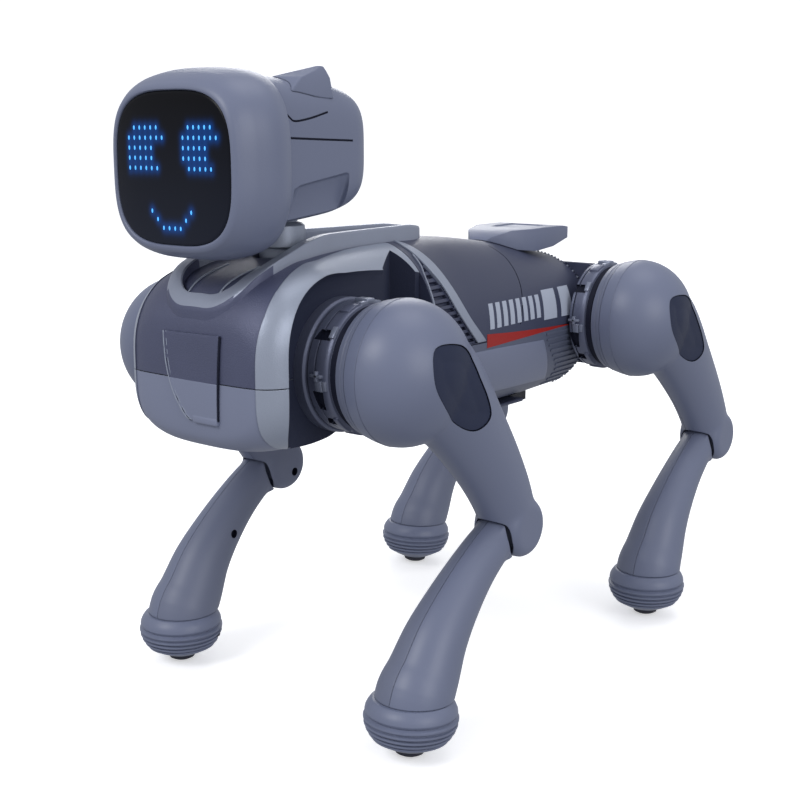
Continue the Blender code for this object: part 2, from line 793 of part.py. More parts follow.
def make_legs():
    thigh_outer, thigh_inner, inlay = make_thigh_patterns()
    shin_outer, shin_inner = make_shin_patterns()
    boot, pad = make_foot_patterns()
    front_hub = make_hub_pattern(FRONT_HUB_X)
    rear_hub = make_hub_pattern(REAR_HUB_X)
    knee = (LEG_X, KNEE_BACK, -KNEE_DROP)
    pin = rod("pin", (1, 0, 0), knee, -0.0079, 0.0079, PIN_RADIUS, 12)
    patterns = (
        ("thigh_outer_shell", thigh_outer, "shell", "hip"),
        ("thigh_inner_shell", thigh_inner, "shell", "hip"),
        ("thigh_inlay", inlay, "inlay", "hip"),
        ("knee_pin", pin, "steel", "hip"),
        ("shin_outer_shell", shin_outer, "shell", "knee"),
        ("shin_inner_shell", shin_inner, "shell", "knee"),
        ("foot_boot", boot, "shell", "knee"),
        ("foot_pad", pad, "rubber", "knee"),
    )
    for leg, side, hip_y, rest_angle in LEGS:
        hip_mount = empty("hip_mount_" + leg, (0, hip_y, HIP_HEIGHT))
        hip = empty("hip_axis_" + leg, (0, 0, 0), hip_mount)
        hip.rotation_euler.x = math.radians(rest_angle)
        hub = front_hub if hip_y < 0 else rear_hub
        knee_axis = empty("knee_axis_" + leg, (0, KNEE_BACK, -KNEE_DROP), hip)
        own = (("hip_hub", hub, "shell_dark", "torso"), *patterns)
        for piece, pattern, finish_name, mover in own:
            item = copy_of(pattern, f"{piece}_{leg}", side)
            if mover == "knee":
                move_mesh(item, (0, -KNEE_BACK, KNEE_DROP))
                item.parent = knee_axis
            else:
                item.parent = hip if mover == "hip" else hip_mount
            finish(item, finish_name)
    for pattern in (front_hub, rear_hub, *(row[1] for row in patterns)):
        bpy.data.objects.remove(pattern, do_unlink=True)


def turn_head_about_neck(pieces):
    """Puts the head's pieces under one empty on the neck's axis."""
    neck = empty("neck_axis", (0, NECK_Y, 0))
    for item in pieces:
        move_mesh(item, (0, -NECK_Y, 0))
        item.parent = neck


def main():
    clear_scene()
    make_chest()
    make_chest_hatch()
    make_neck_rim()
    make_back()
    make_battery_cover()
    make_port_and_switch()
    make_rump()
    make_gearboxes()
    make_tail_fin()
    make_internals()
    head = [*make_face(), *make_pod(), *make_ears()]
    turn_head_about_neck(head)
    make_legs()


main()
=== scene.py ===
"""Looks of the walking robot dog, built on its CAD frame. The dog faces -Y and its left is +X."""

import json
import math

import bmesh
import bpy
import numpy as np
from mathutils import Matrix, Vector


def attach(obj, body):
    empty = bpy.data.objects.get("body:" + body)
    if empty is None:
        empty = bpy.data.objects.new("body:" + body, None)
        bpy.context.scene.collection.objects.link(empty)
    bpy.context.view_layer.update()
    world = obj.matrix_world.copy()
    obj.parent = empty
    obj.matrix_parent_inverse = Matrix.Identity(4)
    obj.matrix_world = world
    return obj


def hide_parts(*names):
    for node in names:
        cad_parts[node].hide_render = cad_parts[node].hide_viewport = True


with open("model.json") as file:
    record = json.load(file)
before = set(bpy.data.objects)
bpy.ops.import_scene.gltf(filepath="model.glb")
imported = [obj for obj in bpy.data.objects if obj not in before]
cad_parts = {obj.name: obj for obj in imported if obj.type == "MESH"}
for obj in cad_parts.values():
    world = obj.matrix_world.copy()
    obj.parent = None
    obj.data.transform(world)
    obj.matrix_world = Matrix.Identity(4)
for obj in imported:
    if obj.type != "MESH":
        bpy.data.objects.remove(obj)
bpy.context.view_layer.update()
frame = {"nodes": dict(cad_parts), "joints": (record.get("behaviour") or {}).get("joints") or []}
JOINTS = {joint["name"]: Vector(joint["pos_m"]) for joint in frame["joints"]}

# ---- Sizes that the looks share with the frame, in metres ----
HIP = JOINTS["hip_front_left"]
REAR_HIP_Y = JOINTS["hip_rear_left"].y
NECK = JOINTS["head_yaw"]
LEG_X = HIP.x
SEAM = 0.155               # height of the seam between upper and lower torso
CHEST_END = -0.0525
GAP = 0.0002                # half the gap along that seam and behind the chest
BODY_END = 0.0865
KNEE_BACK = 0.067
KNEE_DROP = 0.072
BALL_RADIUS = 0.03
HUB_RADIUS = 0.027
CAMERA_TURN = math.radians(38.43)   # of the camera, round from the dog's front to its left
REST_TURNS = {"front_left": -3.5, "front_right": 0.0, "rear_left": 0.0, "rear_right": -3.5}

# Torso sections: y, half width, top z, bottom z, squareness above and below the seam.
TORSO = (
    (-0.1614, 0.018, 0.164, 0.145, 3.2, 3.0),
    (-0.161, 0.028, 0.1705, 0.1388, 3.4, 3.1),
    (-0.16, 0.034, 0.1775, 0.1325, 3.6, 3.2),
    (-0.1545, 0.041, 0.1875, 0.1268, 3.8, 3.2),
    (-0.144, 0.0445, 0.1958, 0.1246, 4.0, 3.3),
    (-0.125, 0.0455, 0.201, 0.1235, 4.0, 3.2),
    (-0.115, 0.045, 0.202, 0.124, 3.5, 3.1),
    (-0.105, 0.045, 0.203, 0.126, 3.0, 2.8),
    (-0.06, 0.041, 0.204, 0.1235, 2.4, 2.3),
    (-0.02, 0.0387, 0.203, 0.115, 2.0, 2.0),
    (0.03, 0.038, 0.198, 0.114, 2.0, 2.0),
    (0.0865, 0.0372, 0.1885, 0.1155, 2.0, 2.0),
)
# Head sections: y, half width, half height, middle z and squareness.
DOME = (
    (-0.1665, 0.0345, 0.0315, 0.2373, 3.2),
    (-0.164, 0.0361, 0.0333, 0.2376, 3.2),
    (-0.159, 0.0384, 0.0353, 0.238, 3.1),
    (-0.15, 0.0405, 0.0366, 0.2386, 3.0),
    (-0.142, 0.0383, 0.036, 0.2391, 3.0),
    (-0.137, 0.033, 0.034, 0.24, 3.2),
)
POD = (
    (-0.1366, 0.029, 0.0295, 0.2433, 4.3),
    (-0.12, 0.0283, 0.0286, 0.2436, 4.3),
    (-0.1, 0.0275, 0.027, 0.244, 4.2),
    (-0.09, 0.0268, 0.025, 0.244, 4.0),
    (-0.084, 0.025, 0.0228, 0.244, 3.8),
    (-0.08, 0.0215, 0.0195, 0.244, 3.6),
    (-0.0785, 0.0175, 0.016, 0.244, 3.5),
)
# Leg stations from the hip: back, up, half depth and half width across.
THIGH = (
    (-0.002, 0.004, 0.0235, 0.012),
    (0.013, -0.007, 0.0218, 0.015),
    (0.034, -0.027, 0.0184, 0.0135),
    (0.051, -0.0455, 0.0164, 0.0122),
    (0.062, -0.061, 0.015, 0.0118),
    (0.067, -0.072, 0.0137, 0.0118),
)
SHIN = (
    (0.063, -0.0732, 0.0098, 0.0088),
    (0.053, -0.0782, 0.0102, 0.0093),
    (0.041, -0.0864, 0.0108, 0.01),
    (0.0267, -0.0992, 0.0122, 0.0116),
    (0.0151, -0.1125, 0.0139, 0.0136),
    (0.0079, -0.125, 0.0155, 0.0153),
    (0.003, -0.133, 0.0165, 0.0165),
    (0.001, -0.142, 0.0166, 0.0166),
)


# ---- Mesh helpers ----
def add_mesh(name, points, faces):
    """An object from points and faces, with its faces turned outwards."""
    mesh = bpy.data.meshes.new(name)
    mesh.from_pydata([tuple(point) for point in points], [], faces)
    bm = bmesh.new()
    bm.from_mesh(mesh)
    bmesh.ops.recalc_face_normals(bm, faces=bm.faces)
    bm.to_mesh(mesh)
    bm.free()
    item = bpy.data.objects.new(name, mesh)
    bpy.context.scene.collection.objects.link(item)
    return item


def loft(name, rings, looped=False):
    """A closed solid through rings of points. A looped one joins its last ring to its first."""
    rings = np.asarray(rings, float)
    count, sides, _ = rings.shape
    faces = []
    for row in range(count if looped else count - 1):
        after = (row + 1) % count
        for i in range(sides):
            j = (i + 1) % sides
            faces.append((row * sides + i, row * sides + j, after * sides + j, after * sides + i))
    if not looped:
        faces.append(tuple(range(sides)))
        faces.append(tuple(range((count - 1) * sides, count * sides)))
    return add_mesh(name, rings.reshape(-1, 3), faces)


def smooth_rows(table, count, measured=4):
    """Rows spaced evenly along a smooth curve through a table's rows."""
    rows = np.array(table, float)
    lengths = np.linalg.norm(np.diff(rows[:, :measured], axis=0), axis=1)
    places = np.concatenate(([0.0], np.cumsum(lengths)))
    return hermite(places, rows, np.linspace(0.0, places[-1], count))


def hermite(places, rows, wanted):
    """Smooth values of rows at the wanted places, with no overshoot."""
    steps = np.diff(places)[:, None]
    slopes = np.diff(rows, axis=0) / steps
    tangents = np.zeros_like(rows)
    tangents[0], tangents[-1] = slopes[0], slopes[-1]
    before, after = slopes[:-1], slopes[1:]
    agree = before * after > 0
    total = np.where(agree, before + after, 1.0)
    tangents[1:-1] = np.where(agree, 2 * before * after / total, 0.0)
    k = np.clip(np.searchsorted(places, wanted, side="right") - 1, 0, len(rows) - 2)
    step = steps[k]
    u = ((wanted - places[k]) / steps[k, 0])[:, None]
    return (
        (2 * u**3 - 3 * u**2 + 1) * rows[k]
        + (u**3 - 2 * u**2 + u) * step * tangents[k]
        + (3 * u**2 - 2 * u**3) * rows[k + 1]
        + (u**3 - u**2) * step * tangents[k + 1]
    )


def spline(points, count, closed=False):
    """Points spaced evenly along a smooth Catmull-Rom curve."""
    points = np.array(points, float)
    if closed:
        padded = np.vstack([points[-1:], points, points[:2]])
    else:
        first, last = 2 * points[0] - points[1], 2 * points[-1] - points[-2]
        padded = np.vstack([first, points, last])
    fine = []
    for i in range(len(padded) - 3):
        a, b, c, d = padded[i : i + 4]
        for u in np.linspace(0, 1, 12, endpoint=False):
            fine.append(
                0.5 * (2 * b + (c - a) * u + (2 * a - 5 * b + 4 * c - d) * u**2
                       + (3 * b - a - 3 * c + d) * u**3)
            )
    fine.append(points[0] if closed else points[-1])
    fine = np.array(fine)
    travel = np.concatenate(([0], np.cumsum(np.linalg.norm(np.diff(fine, axis=0), axis=1))))
    wanted = np.linspace(0, travel[-1], count, endpoint=not closed)
    return np.stack([np.interp(wanted, travel, column) for column in fine.T], axis=1)


def ring_turns(sides):
    return 2 * np.pi * (np.arange(sides) + 0.5) / sides


def squared(value, squareness):
    return np.sign(value) * np.abs(value) ** (2 / squareness)


def turned(name, profile, axis, centre, sides=96):
    """A solid of revolution: profile points are (distance along the axis, radius)."""
    along = Vector(axis)
    across = Vector((0, 0, 1)) if abs(along.z) < 0.5 else Vector((0, 1, 0))
    third = along.cross(across)
    turns = ring_turns(sides)
    spokes = np.outer(np.cos(turns), across) + np.outer(np.sin(turns), third)
    rings = [np.array(centre) + np.array(along) * d + spokes * r for d, r in profile]
    return loft(name, rings)


def rod(name, axis, centre, start, end, radius, sides=48):
    return turned(name, ((start, radius), (end, radius)), axis, centre, sides)


def prism(name, outline, low, high, axis):
    """A straight solid over a flat outline. The outline is the two other coordinates in order."""
    column = "XYZ".index(axis)
    rings = [np.insert(np.array(outline, float), column, height, axis=1) for height in (low, high)]
    return loft(name, rings)


def block(name, low, high, width=0.0, segments=3):
    """A box between two corners, with rounded edges where a width is given."""
    corners = [(low[0], low[1]), (high[0], low[1]), (high[0], high[1]), (low[0], high[1])]
    item = prism(name, corners, low[2], high[2], "Z")
    return bevelled(item, width, segments) if width else item


def tube(name, path, radius, sides=10, samples=60):
    """A round bar along a smooth path, its radius one number or a value at each sample."""
    path = spline(path, samples)
    radii = np.broadcast_to(radius, samples)
    tangents = np.gradient(path, axis=0)
    tangents /= np.linalg.norm(tangents, axis=1)[:, None]
    rings = []
    side = np.cross(tangents[0], (0.3, 0.5, 0.8))
    for point, tangent, reach in zip(path, tangents, radii):
        side = side - tangent * side.dot(tangent)
        side /= np.linalg.norm(side)
        up = np.cross(tangent, side)
        turns = ring_turns(sides)
        rings.append(point + reach * (np.outer(np.cos(turns), side) + np.outer(np.sin(turns), up)))
    return loft(name, rings)


def bake(item):
    """Applies an object's modifiers."""
    graph = bpy.context.evaluated_depsgraph_get()
    old = item.data
    item.data = bpy.data.meshes.new_from_object(item.evaluated_get(graph))
    item.modifiers.clear()
    bpy.data.meshes.remove(old)
    return item


def bevelled(item, width, segments=3, angle=35):
    bevel = item.modifiers.new("Edges", "BEVEL")
    bevel.width = width
    bevel.segments = segments
    bevel.limit_method = "ANGLE"
    bevel.angle_limit = math.radians(angle)
    bevel.use_clamp_overlap = True
    return bake(item)


def combine(item, other, operation, spare=True):
    """A Boolean of two solids. Faces that come from the other one keep its material."""
    boolean = item.modifiers.new(operation.title(), "BOOLEAN")
    boolean.operation = operation
    boolean.solver = "EXACT"
    boolean.object = other
    boolean.material_mode = "TRANSFER"
    bake(item)
    if spare:
        bpy.data.objects.remove(other, do_unlink=True)
    return item


def cut(item, other, spare=True):
    return combine(item, other, "DIFFERENCE", spare)


def join(item, other, spare=True):
    return combine(item, other, "UNION", spare)


def keep(item, other, spare=True):
    return combine(item, other, "INTERSECT", spare)


def merged(items):
    """One object holding the meshes of several, which may have their own materials."""
    bm = bmesh.new()
    slots = []
    for item in items:
        start = len(bm.faces)
        bm.from_mesh(item.data)
        bm.faces.ensure_lookup_table()
        for face in bm.faces[start:]:
            own = item.data.materials[face.material_index] if item.data.materials else None
            if own not in slots:
                slots.append(own)
            face.material_index = slots.index(own)
    mesh = bpy.data.meshes.new(items[0].name)
    for own in slots:
        mesh.materials.append(own)
    bm.to_mesh(mesh)
    bm.free()
    items[0].data = mesh
    for item in items[1:]:
        bpy.data.objects.remove(item, do_unlink=True)
    return items[0]


def copy_of(item, name, side=1):
    """A copy with its own mesh, mirrored to the other flank where side is -1."""
    mesh = item.data.copy()
    if side < 0:
        mesh.transform(Matrix.Scale(-1, 4, (1, 0, 0)))
        mesh.flip_normals()
    mesh.name = name
    made = bpy.data.objects.new(name, mesh)
    bpy.context.scene.collection.objects.link(made)
    return made


def both_sides(item):
    """The object together with its mirror image on the other flank."""
    return merged([item, copy_of(item, item.name + "_mirrored", -1)])


def smoothed(item, voxel, rounds, factor=0.5):
    """Fuses a solid's skin on a fine grid and relaxes it."""
    remesh = item.modifiers.new("Skin", "REMESH")
    remesh.mode = "VOXEL"
    remesh.voxel_size = voxel
    relax = item.modifiers.new("Relax", "SMOOTH")
    relax.iterations = rounds
    relax.factor = factor
    return bake(item)


def painted(item, material):
    item.data.materials.clear()
    item.data.materials.append(material)
    return item


def shown(item, body, nodes=(), angle=32):
    """Shades a finished piece and puts it on its body in place of its CAD nodes."""
    item.data.shade_smooth()
    item.data.set_sharp_from_angle(angle=math.radians(angle))
    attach(item, body)
    if nodes:
        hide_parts(*nodes)
    return item


# ---- Materials ----
def link(tree, source, target):
    tree.links.new(source, target)


def add_node(tree, kind, **inputs):
    node = tree.nodes.new(kind)
    for label, value in inputs.items():
        node.inputs[label.replace("_", " ")].default_value = value
    return node


def plastic(
    name, colour, rough=0.45, metal=0.0, grain=0.15, grain_size=1.0, speck=0.1, edge=0.0004, shine=0.5
):
    """Moulded plastic: fine grain in the relief, soft mottling in colour and gloss, rounded edges."""
    material = bpy.data.materials.new(name)
    material.use_nodes = True
    tree = material.node_tree
    shader = tree.nodes["Principled BSDF"]
    shader.inputs["Metallic"].default_value = metal
    shader.inputs["Specular IOR Level"].default_value = shine
    place = tree.nodes.new("ShaderNodeTexCoord")
    fine = add_node(tree, "ShaderNodeTexNoise", Scale=2600.0 / grain_size, Detail=2.0, Roughness=0.6)
    broad = add_node(tree, "ShaderNodeTexNoise", Scale=55.0, Detail=4.0, Roughness=0.55)
    for noise in (fine, broad):
        link(tree, place.outputs["Object"], noise.inputs["Vector"])
    shade = tree.nodes.new("ShaderNodeMix")
    shade.data_type = "RGBA"
    shade.inputs["A"].default_value = (*[c * (1 - speck) for c in colour], 1)
    shade.inputs["B"].default_value = (*[min(c * (1 + speck), 1) for c in colour], 1)
    spread = add_node(tree, "ShaderNodeMath")
    spread.operation = "MULTIPLY_ADD"
    spread.inputs[1].default_value = 0.55
    link(tree, fine.outputs["Fac"], spread.inputs[0])
    half = add_node(tree, "ShaderNodeMath")
    half.operation = "MULTIPLY"
    half.inputs[1].default_value = 0.45
    link(tree, broad.outputs["Fac"], half.inputs[0])
    link(tree, half.outputs[0], spread.inputs[2])
    link(tree, spread.outputs[0], shade.inputs["Factor"])
    link(tree, shade.outputs["Result"], shader.inputs["Base Color"])
    gloss = add_node(tree, "ShaderNodeMapRange")
    gloss.inputs["To Min"].default_value = rough - 0.05
    gloss.inputs["To Max"].default_value = rough + 0.05
    link(tree, broad.outputs["Fac"], gloss.inputs["Value"])
    link(tree, gloss.outputs["Result"], shader.inputs["Roughness"])
    relief = add_node(tree, "ShaderNodeBump", Strength=grain, Distance=0.0003)
    link(tree, fine.outputs["Fac"], relief.inputs["Height"])
    if edge:
        rounding = add_node(tree, "ShaderNodeBevel", Radius=edge)
        rounding.samples = 4
        link(tree, rounding.outputs["Normal"], relief.inputs["Normal"])
    link(tree, relief.outputs["Normal"], shader.inputs["Normal"])
    return material


SHELL = plastic("shell_plastic", (0.15, 0.171, 0.256), 0.42, grain=0.05, speck=0.03, edge=0.0005)
# Painted shade: a slightly darker copy of the shell for the inner halves of the legs.
SHELL_PAINTED_SHADE = plastic("shell_inner_painted_shade", (0.14, 0.158, 0.232), 0.46, grain=0.05, speck=0.03)
CHEST_DARK = plastic(
    "chest_textured", (0.074, 0.083, 0.148), 0.42, 0.25, grain=0.55, grain_size=1.3, speck=0.22
)
CHEST_LIGHT = plastic("chest_smooth", (0.195, 0.218, 0.315), 0.45, 0.1, grain=0.15, speck=0.05)
BAND = plastic("band_satin", (0.31, 0.345, 0.43), 0.38, 0.35, grain=0.3, grain_size=1.2, speck=0.12)
# Painted shade: the near-black given to the recess round each front hub.
WELL_PAINTED_SHADE = plastic("well_painted_shade", (0.024, 0.029, 0.055), 0.55, grain=0.35, grain_size=1.2, speck=0.15, shine=0.2)
BODY = plastic("body_dark", (0.05, 0.058, 0.104), 0.42, 0.15, grain=0.22, speck=0.1)
BODY_LIGHT = plastic("belly_plastic", (0.105, 0.12, 0.18), 0.45, 0.1, grain=0.18, speck=0.06)
# Painted shade: a near-black finish given to grooves, holes, windows, gaps and recesses for the shade that
# falls in them.
DEEP_PAINTED_SHADE = plastic("deep_shadow_plastic", (0.01, 0.012, 0.026), 0.6, grain=0.2, speck=0.1, shine=0.15)
RIM = plastic("rim_satin", (0.27, 0.298, 0.38), 0.36, 0.35, grain=0.35, grain_size=1.2, speck=0.12)
INLAY = plastic("inlay_dark", (0.022, 0.029, 0.062), 0.5, grain=0.25, speck=0.12, shine=0.2)
HUB = plastic("hub_plastic", (0.118, 0.132, 0.2), 0.34, 0.35, grain=0.18, speck=0.08)
HUB_PLATE = plastic("hub_plate", (0.23, 0.255, 0.34), 0.32, 0.35, grain=0.15, speck=0.08)
PRINT = plastic("printed_marks", (0.4, 0.44, 0.54), 0.5, grain=0.08, speck=0.03, edge=0.0)
RED = plastic("printed_wedge", (0.33, 0.01, 0.006), 0.5, grain=0.1, speck=0.05, edge=0.0)
RUBBER = plastic("sole_rubber", (0.022, 0.023, 0.036), 0.75, grain=0.5, speck=0.2)
STEEL = plastic("pin_steel", (0.46, 0.47, 0.5), 0.3, 1.0, grain=0.08, speck=0.05)
BLACK = plastic("black_plastic", (0.012, 0.013, 0.02), 0.45, grain=0.25, speck=0.15)
BOARD = plastic("circuit_board", (0.014, 0.1, 0.05), 0.45, grain=0.3, grain_size=6.0, speck=0.35)
CELL = plastic("battery_wrap", (0.04, 0.085, 0.26), 0.35, grain=0.1, speck=0.05)


# ---- Torso surface ----
TORSO_FINE = smooth_rows(TORSO, 120, 4)


def section_at(y):
    """Half width, top, bottom and squarenesses of the torso at each y."""
    y = np.atleast_1d(np.asarray(y, float))
    columns = [np.interp(y, TORSO_FINE[:, 0], TORSO_FINE[:, i]) for i in range(1, 6)]
    return np.stack(columns, axis=1)


def skin_point(y, turn, offset=0.0):
    """The torso's surface at y and at turn radians up from the dog's left side."""
    section = section_at(y)
    turn = np.atleast_1d(np.asarray(turn, float))
    half, top, bottom, upper, lower = section.T
    c, s = np.cos(turn), np.sin(turn)
    above = s >= 0
    reach = np.where(above, top - SEAM, SEAM - bottom) + offset
    square = np.where(above, upper, lower)
    x = (half + offset) * squared(c, square)
    z = SEAM + reach * squared(s, square)
    return np.stack([x, np.broadcast_to(y, x.shape), z], axis=1)


def turn_at(y, z):
    """The turn at which the torso's left surface has that height."""
    half, top, bottom, upper, lower = section_at(y)[0]
    rise = z - SEAM
    reach, square = (top - SEAM, upper) if rise >= 0 else (SEAM - bottom, lower)
    share = min(abs(rise) / reach, 1.0)
    return math.copysign(math.asin(share ** (square / 2)), rise)


def torso_solid(name, offset=0.0, sides=144):
    """The torso's form, its skin moved outwards by offset all round."""
    turns = ring_turns(sides)
    rings = [skin_point(np.full(sides, row[0]), turns) for row in TORSO_FINE]
    for end, step in ((0, -1), (-1, 1)):
        edge = rings[end]
        middle = np.array((0.0, edge[0, 1], SEAM))
        caps = []
        for share in (0.9, 0.6, 0.3, 0.03):
            cap = middle + (edge - middle) * share
            cap[:, 1] += step * 0.0003 * (1 - share)
            caps.append(cap)
        rings = caps[::-1] + rings if end == 0 else rings + caps
    item = loft(name, rings)
    return moved_skin(item, offset) if offset else item


def moved_skin(item, amount):
    """The same solid with its skin moved outwards along its normals."""
    mesh = item.data
    normals = np.zeros(len(mesh.vertices) * 3)
    points = np.zeros(len(mesh.vertices) * 3)
    mesh.vertices.foreach_get("co", points)
    mesh.vertices.foreach_get("normal", normals)
    mesh.vertices.foreach_set("co", points + normals * amount)
    mesh.update()
    return item


def skin(name, edge_a, edge_b, high, low, along=40, across=8):
    """A plate on the torso between two lines of (y, z), from low to high outside its surface."""
    edges = []
    for edge in (edge_a, edge_b):
        turned_edge = [(y, turn_at(y, z)) for y, z in edge]
        fine = spline(turned_edge, along) if len(edge) > 2 else np.linspace(*turned_edge, along)
        edges.append(fine)
    rings = []
    for a, b in zip(*edges):
        shares = np.linspace(0, 1, across)[:, None]
        line = a * (1 - shares) + b * shares
        outer = skin_point(line[:, 0], line[:, 1], high)
        inner = skin_point(line[::-1, 0], line[::-1, 1], low)
        rings.append(np.vstack([outer, inner]))
    return loft(name, rings)


def slab(low_y, high_y, low_z, high_z):
    return block("slab", (-0.1, low_y, low_z), (0.1, high_y, high_z))


# ---- Chest ----
def panel_prism():
    """Plan outline of the front panel between the two bands."""
    edge = (
        (0.0345, -0.2),
        (0.0345, -0.154),
        (0.033, -0.145),
        (0.03, -0.135),
        (0.0272, -0.124),
        (0.0246, -0.112),
        (0.0208, -0.1),
        (0.0174, -0.088),
        (0.015, -0.075),
        (0.0124, -0.054),
        (0.011, -0.04),
    )
    outline = [*edge, *[(-x, y) for x, y in reversed(edge)]]
    return prism("panel", outline, 0.1, 0.23, "Z")


def panel_layer(depth):
    """The skin of the front panel, to be taken off the chest."""
    layer = keep(torso_solid("layer", 0.002), panel_prism())
    return cut(layer, torso_solid("under", -depth))


# Half outlines of the neck rim in x and y, front to back: its outside and its inside.
RIM_OUTSIDE = (
    (0.0, -0.159),
    (0.011, -0.1586),
    (0.0195, -0.1548),
    (0.0238, -0.147),
    (0.0247, -0.138),
    (0.0236, -0.127),
    (0.0205, -0.111),
    (0.0172, -0.095),
    (0.0142, -0.078),
    (0.0117, -0.056),
    (0.0102, -0.04),
    (0.008, -0.026),
    (0.0045, -0.0188),
    (0.0, -0.017),
)
RIM_INSIDE = (
    (0.0, -0.154),
    (0.0085, -0.1537),
    (0.0148, -0.15),
    (0.0178, -0.1435),
    (0.0187, -0.137),
    (0.0177, -0.1265),
    (0.0152, -0.111),
    (0.0125, -0.095),
    (0.01, -0.078),
    (0.008, -0.056),
    (0.0066, -0.04),
    (0.005, -0.03),
    (0.0026, -0.0245),
    (0.0, -0.0235),
)


def whole_outline(half, count):
    """A smooth closed outline from its left half."""
    mirrored = [(-x, y) for x, y in reversed(half[1:-1])]
    return spline([*half, *mirrored], count, closed=True)


def well_layer():
    """The skin inside the raised rim."""
    outline = whole_outline(RIM_INSIDE, 120) * (1.03, 1.0)
    layer = keep(torso_solid("layer", 0.002), prism("outline", outline, 0.165, 0.23, "Z"))
    return cut(layer, torso_solid("under", -0.0016))


# Sweep of the recess round a front hub: x, reach forward and rise above its middle.
ARCH_SWEEP = (
    (0.056, 0.0462, 0.0362),
    (0.0455, 0.045, 0.0352),
    (0.043, 0.0437, 0.035),
    (0.04, 0.0415, 0.0347),
    (0.037, 0.0385, 0.0343),
    (0.0345, 0.036, 0.0335),
    (0.0325, 0.0342, 0.0315),
    (0.0312, 0.0328, 0.0285),
    (0.0306, 0.031, 0.0255),
)


def arch_cutter():
    """The recess that a front hub sits in, with its deep corner behind the hub; its faces carry painted
    shade.
    """
    middle_y, middle_z = HIP.y, 0.162
    rings = []
    for x, reach, rise in smooth_rows(ARCH_SWEEP, 22, 3):
        ring = [(x, CHEST_END + 0.01, 0.1), (x, middle_y - reach, 0.1)]
        for i in range(25):
            turn = math.radians(90 * i / 24)
            across, up = squared(np.array((math.cos(turn), math.sin(turn))), 2.6)
            ring.append((x, middle_y - reach * across, middle_z + rise * up))
        for i in range(1, 7):
            share = i / 6
            y = middle_y + share * (CHEST_END + 0.01 - middle_y)
            ring.append((x, y, middle_z + rise + 0.0045 * share))
        rings.append(ring)
    arch = painted(loft("arch", rings), WELL_PAINTED_SHADE)
    plan = ((0.031, -0.079), (0.02, -0.0605), (0.0388, -0.0521), (0.06, -0.0521), (0.06, -0.079))
    corner = painted(prism("corner", plan, 0.1, 0.22, "Z"), WELL_PAINTED_SHADE)
    return join(arch, corner)


def make_chest():
    panel_upper = painted(panel_layer(0.0004), CHEST_DARK)
    panel_lower = painted(copy_of(panel_upper, "panel_lower"), CHEST_LIGHT)
    inside_rim = painted(well_layer(), CHEST_DARK)
    arches = both_sides(arch_cutter())
    neck_hole = painted(rod("neck_hole", (0, 0, 1), (0, NECK.y, 0), 0.1925, 0.23, 0.0114), CHEST_DARK)
    whole = painted(torso_solid("whole"), BAND)
    upper = keep(copy_of(whole, "chest_upper"), slab(-0.2, CHEST_END - GAP, SEAM + GAP, 0.3))
    lower = keep(whole, slab(-0.2, CHEST_END - GAP, 0.0, SEAM - GAP))
    lower.name = "chest_lower"
    cut(upper, panel_upper)
    cut(lower, panel_lower)
    cut(upper, inside_rim)
    cut(upper, neck_hole)
    # The arches leave painted shade on the recess faces round the front hubs.
    cut(upper, arches, spare=False)
    cut(lower, arches)
    shown(upper, "torso", ["chest_upper_shell"])
    shown(lower, "torso", ["chest_lower_shell"])
    make_well_ridges()
    make_hub_plates()


def make_well_ridges():
    """Two fine light ridges inside the rim, running back from the chest's brow."""
    paths = (
        ((-0.0096, -0.155), (-0.0092, -0.148), (-0.008, -0.14), (-0.007, -0.132)),
        ((0.0076, -0.155), (0.008, -0.1487), (0.0092, -0.1415), (0.011, -0.132)),
    )
    ridges = []
    for plan in paths:
        path = []
        for x, y in plan:
            half, top, _, upper, _ = section_at(y)[0]
            height = (top - SEAM) * (1 - (abs(x) / half) ** upper) ** (1 / upper)
            path.append((x, y, SEAM + height - 0.0015))
        ridges.append(painted(tube("ridge", path, 0.0004, 8, 24), BAND))
    shown(merged(ridges), "torso").name = "well_ridges"


def make_hub_plates():
    """The round seats that the front hubs bear on."""
    profile = ((0.03, 0.028), (0.0352, 0.028), (0.036, 0.0272), (0.0362, 0.025))
    plate = painted(turned("hub_seats", profile, (1, 0, 0), (0, HIP.y, HIP.z)), HUB)
    shown(both_sides(plate), "torso").name = "hub_seats"


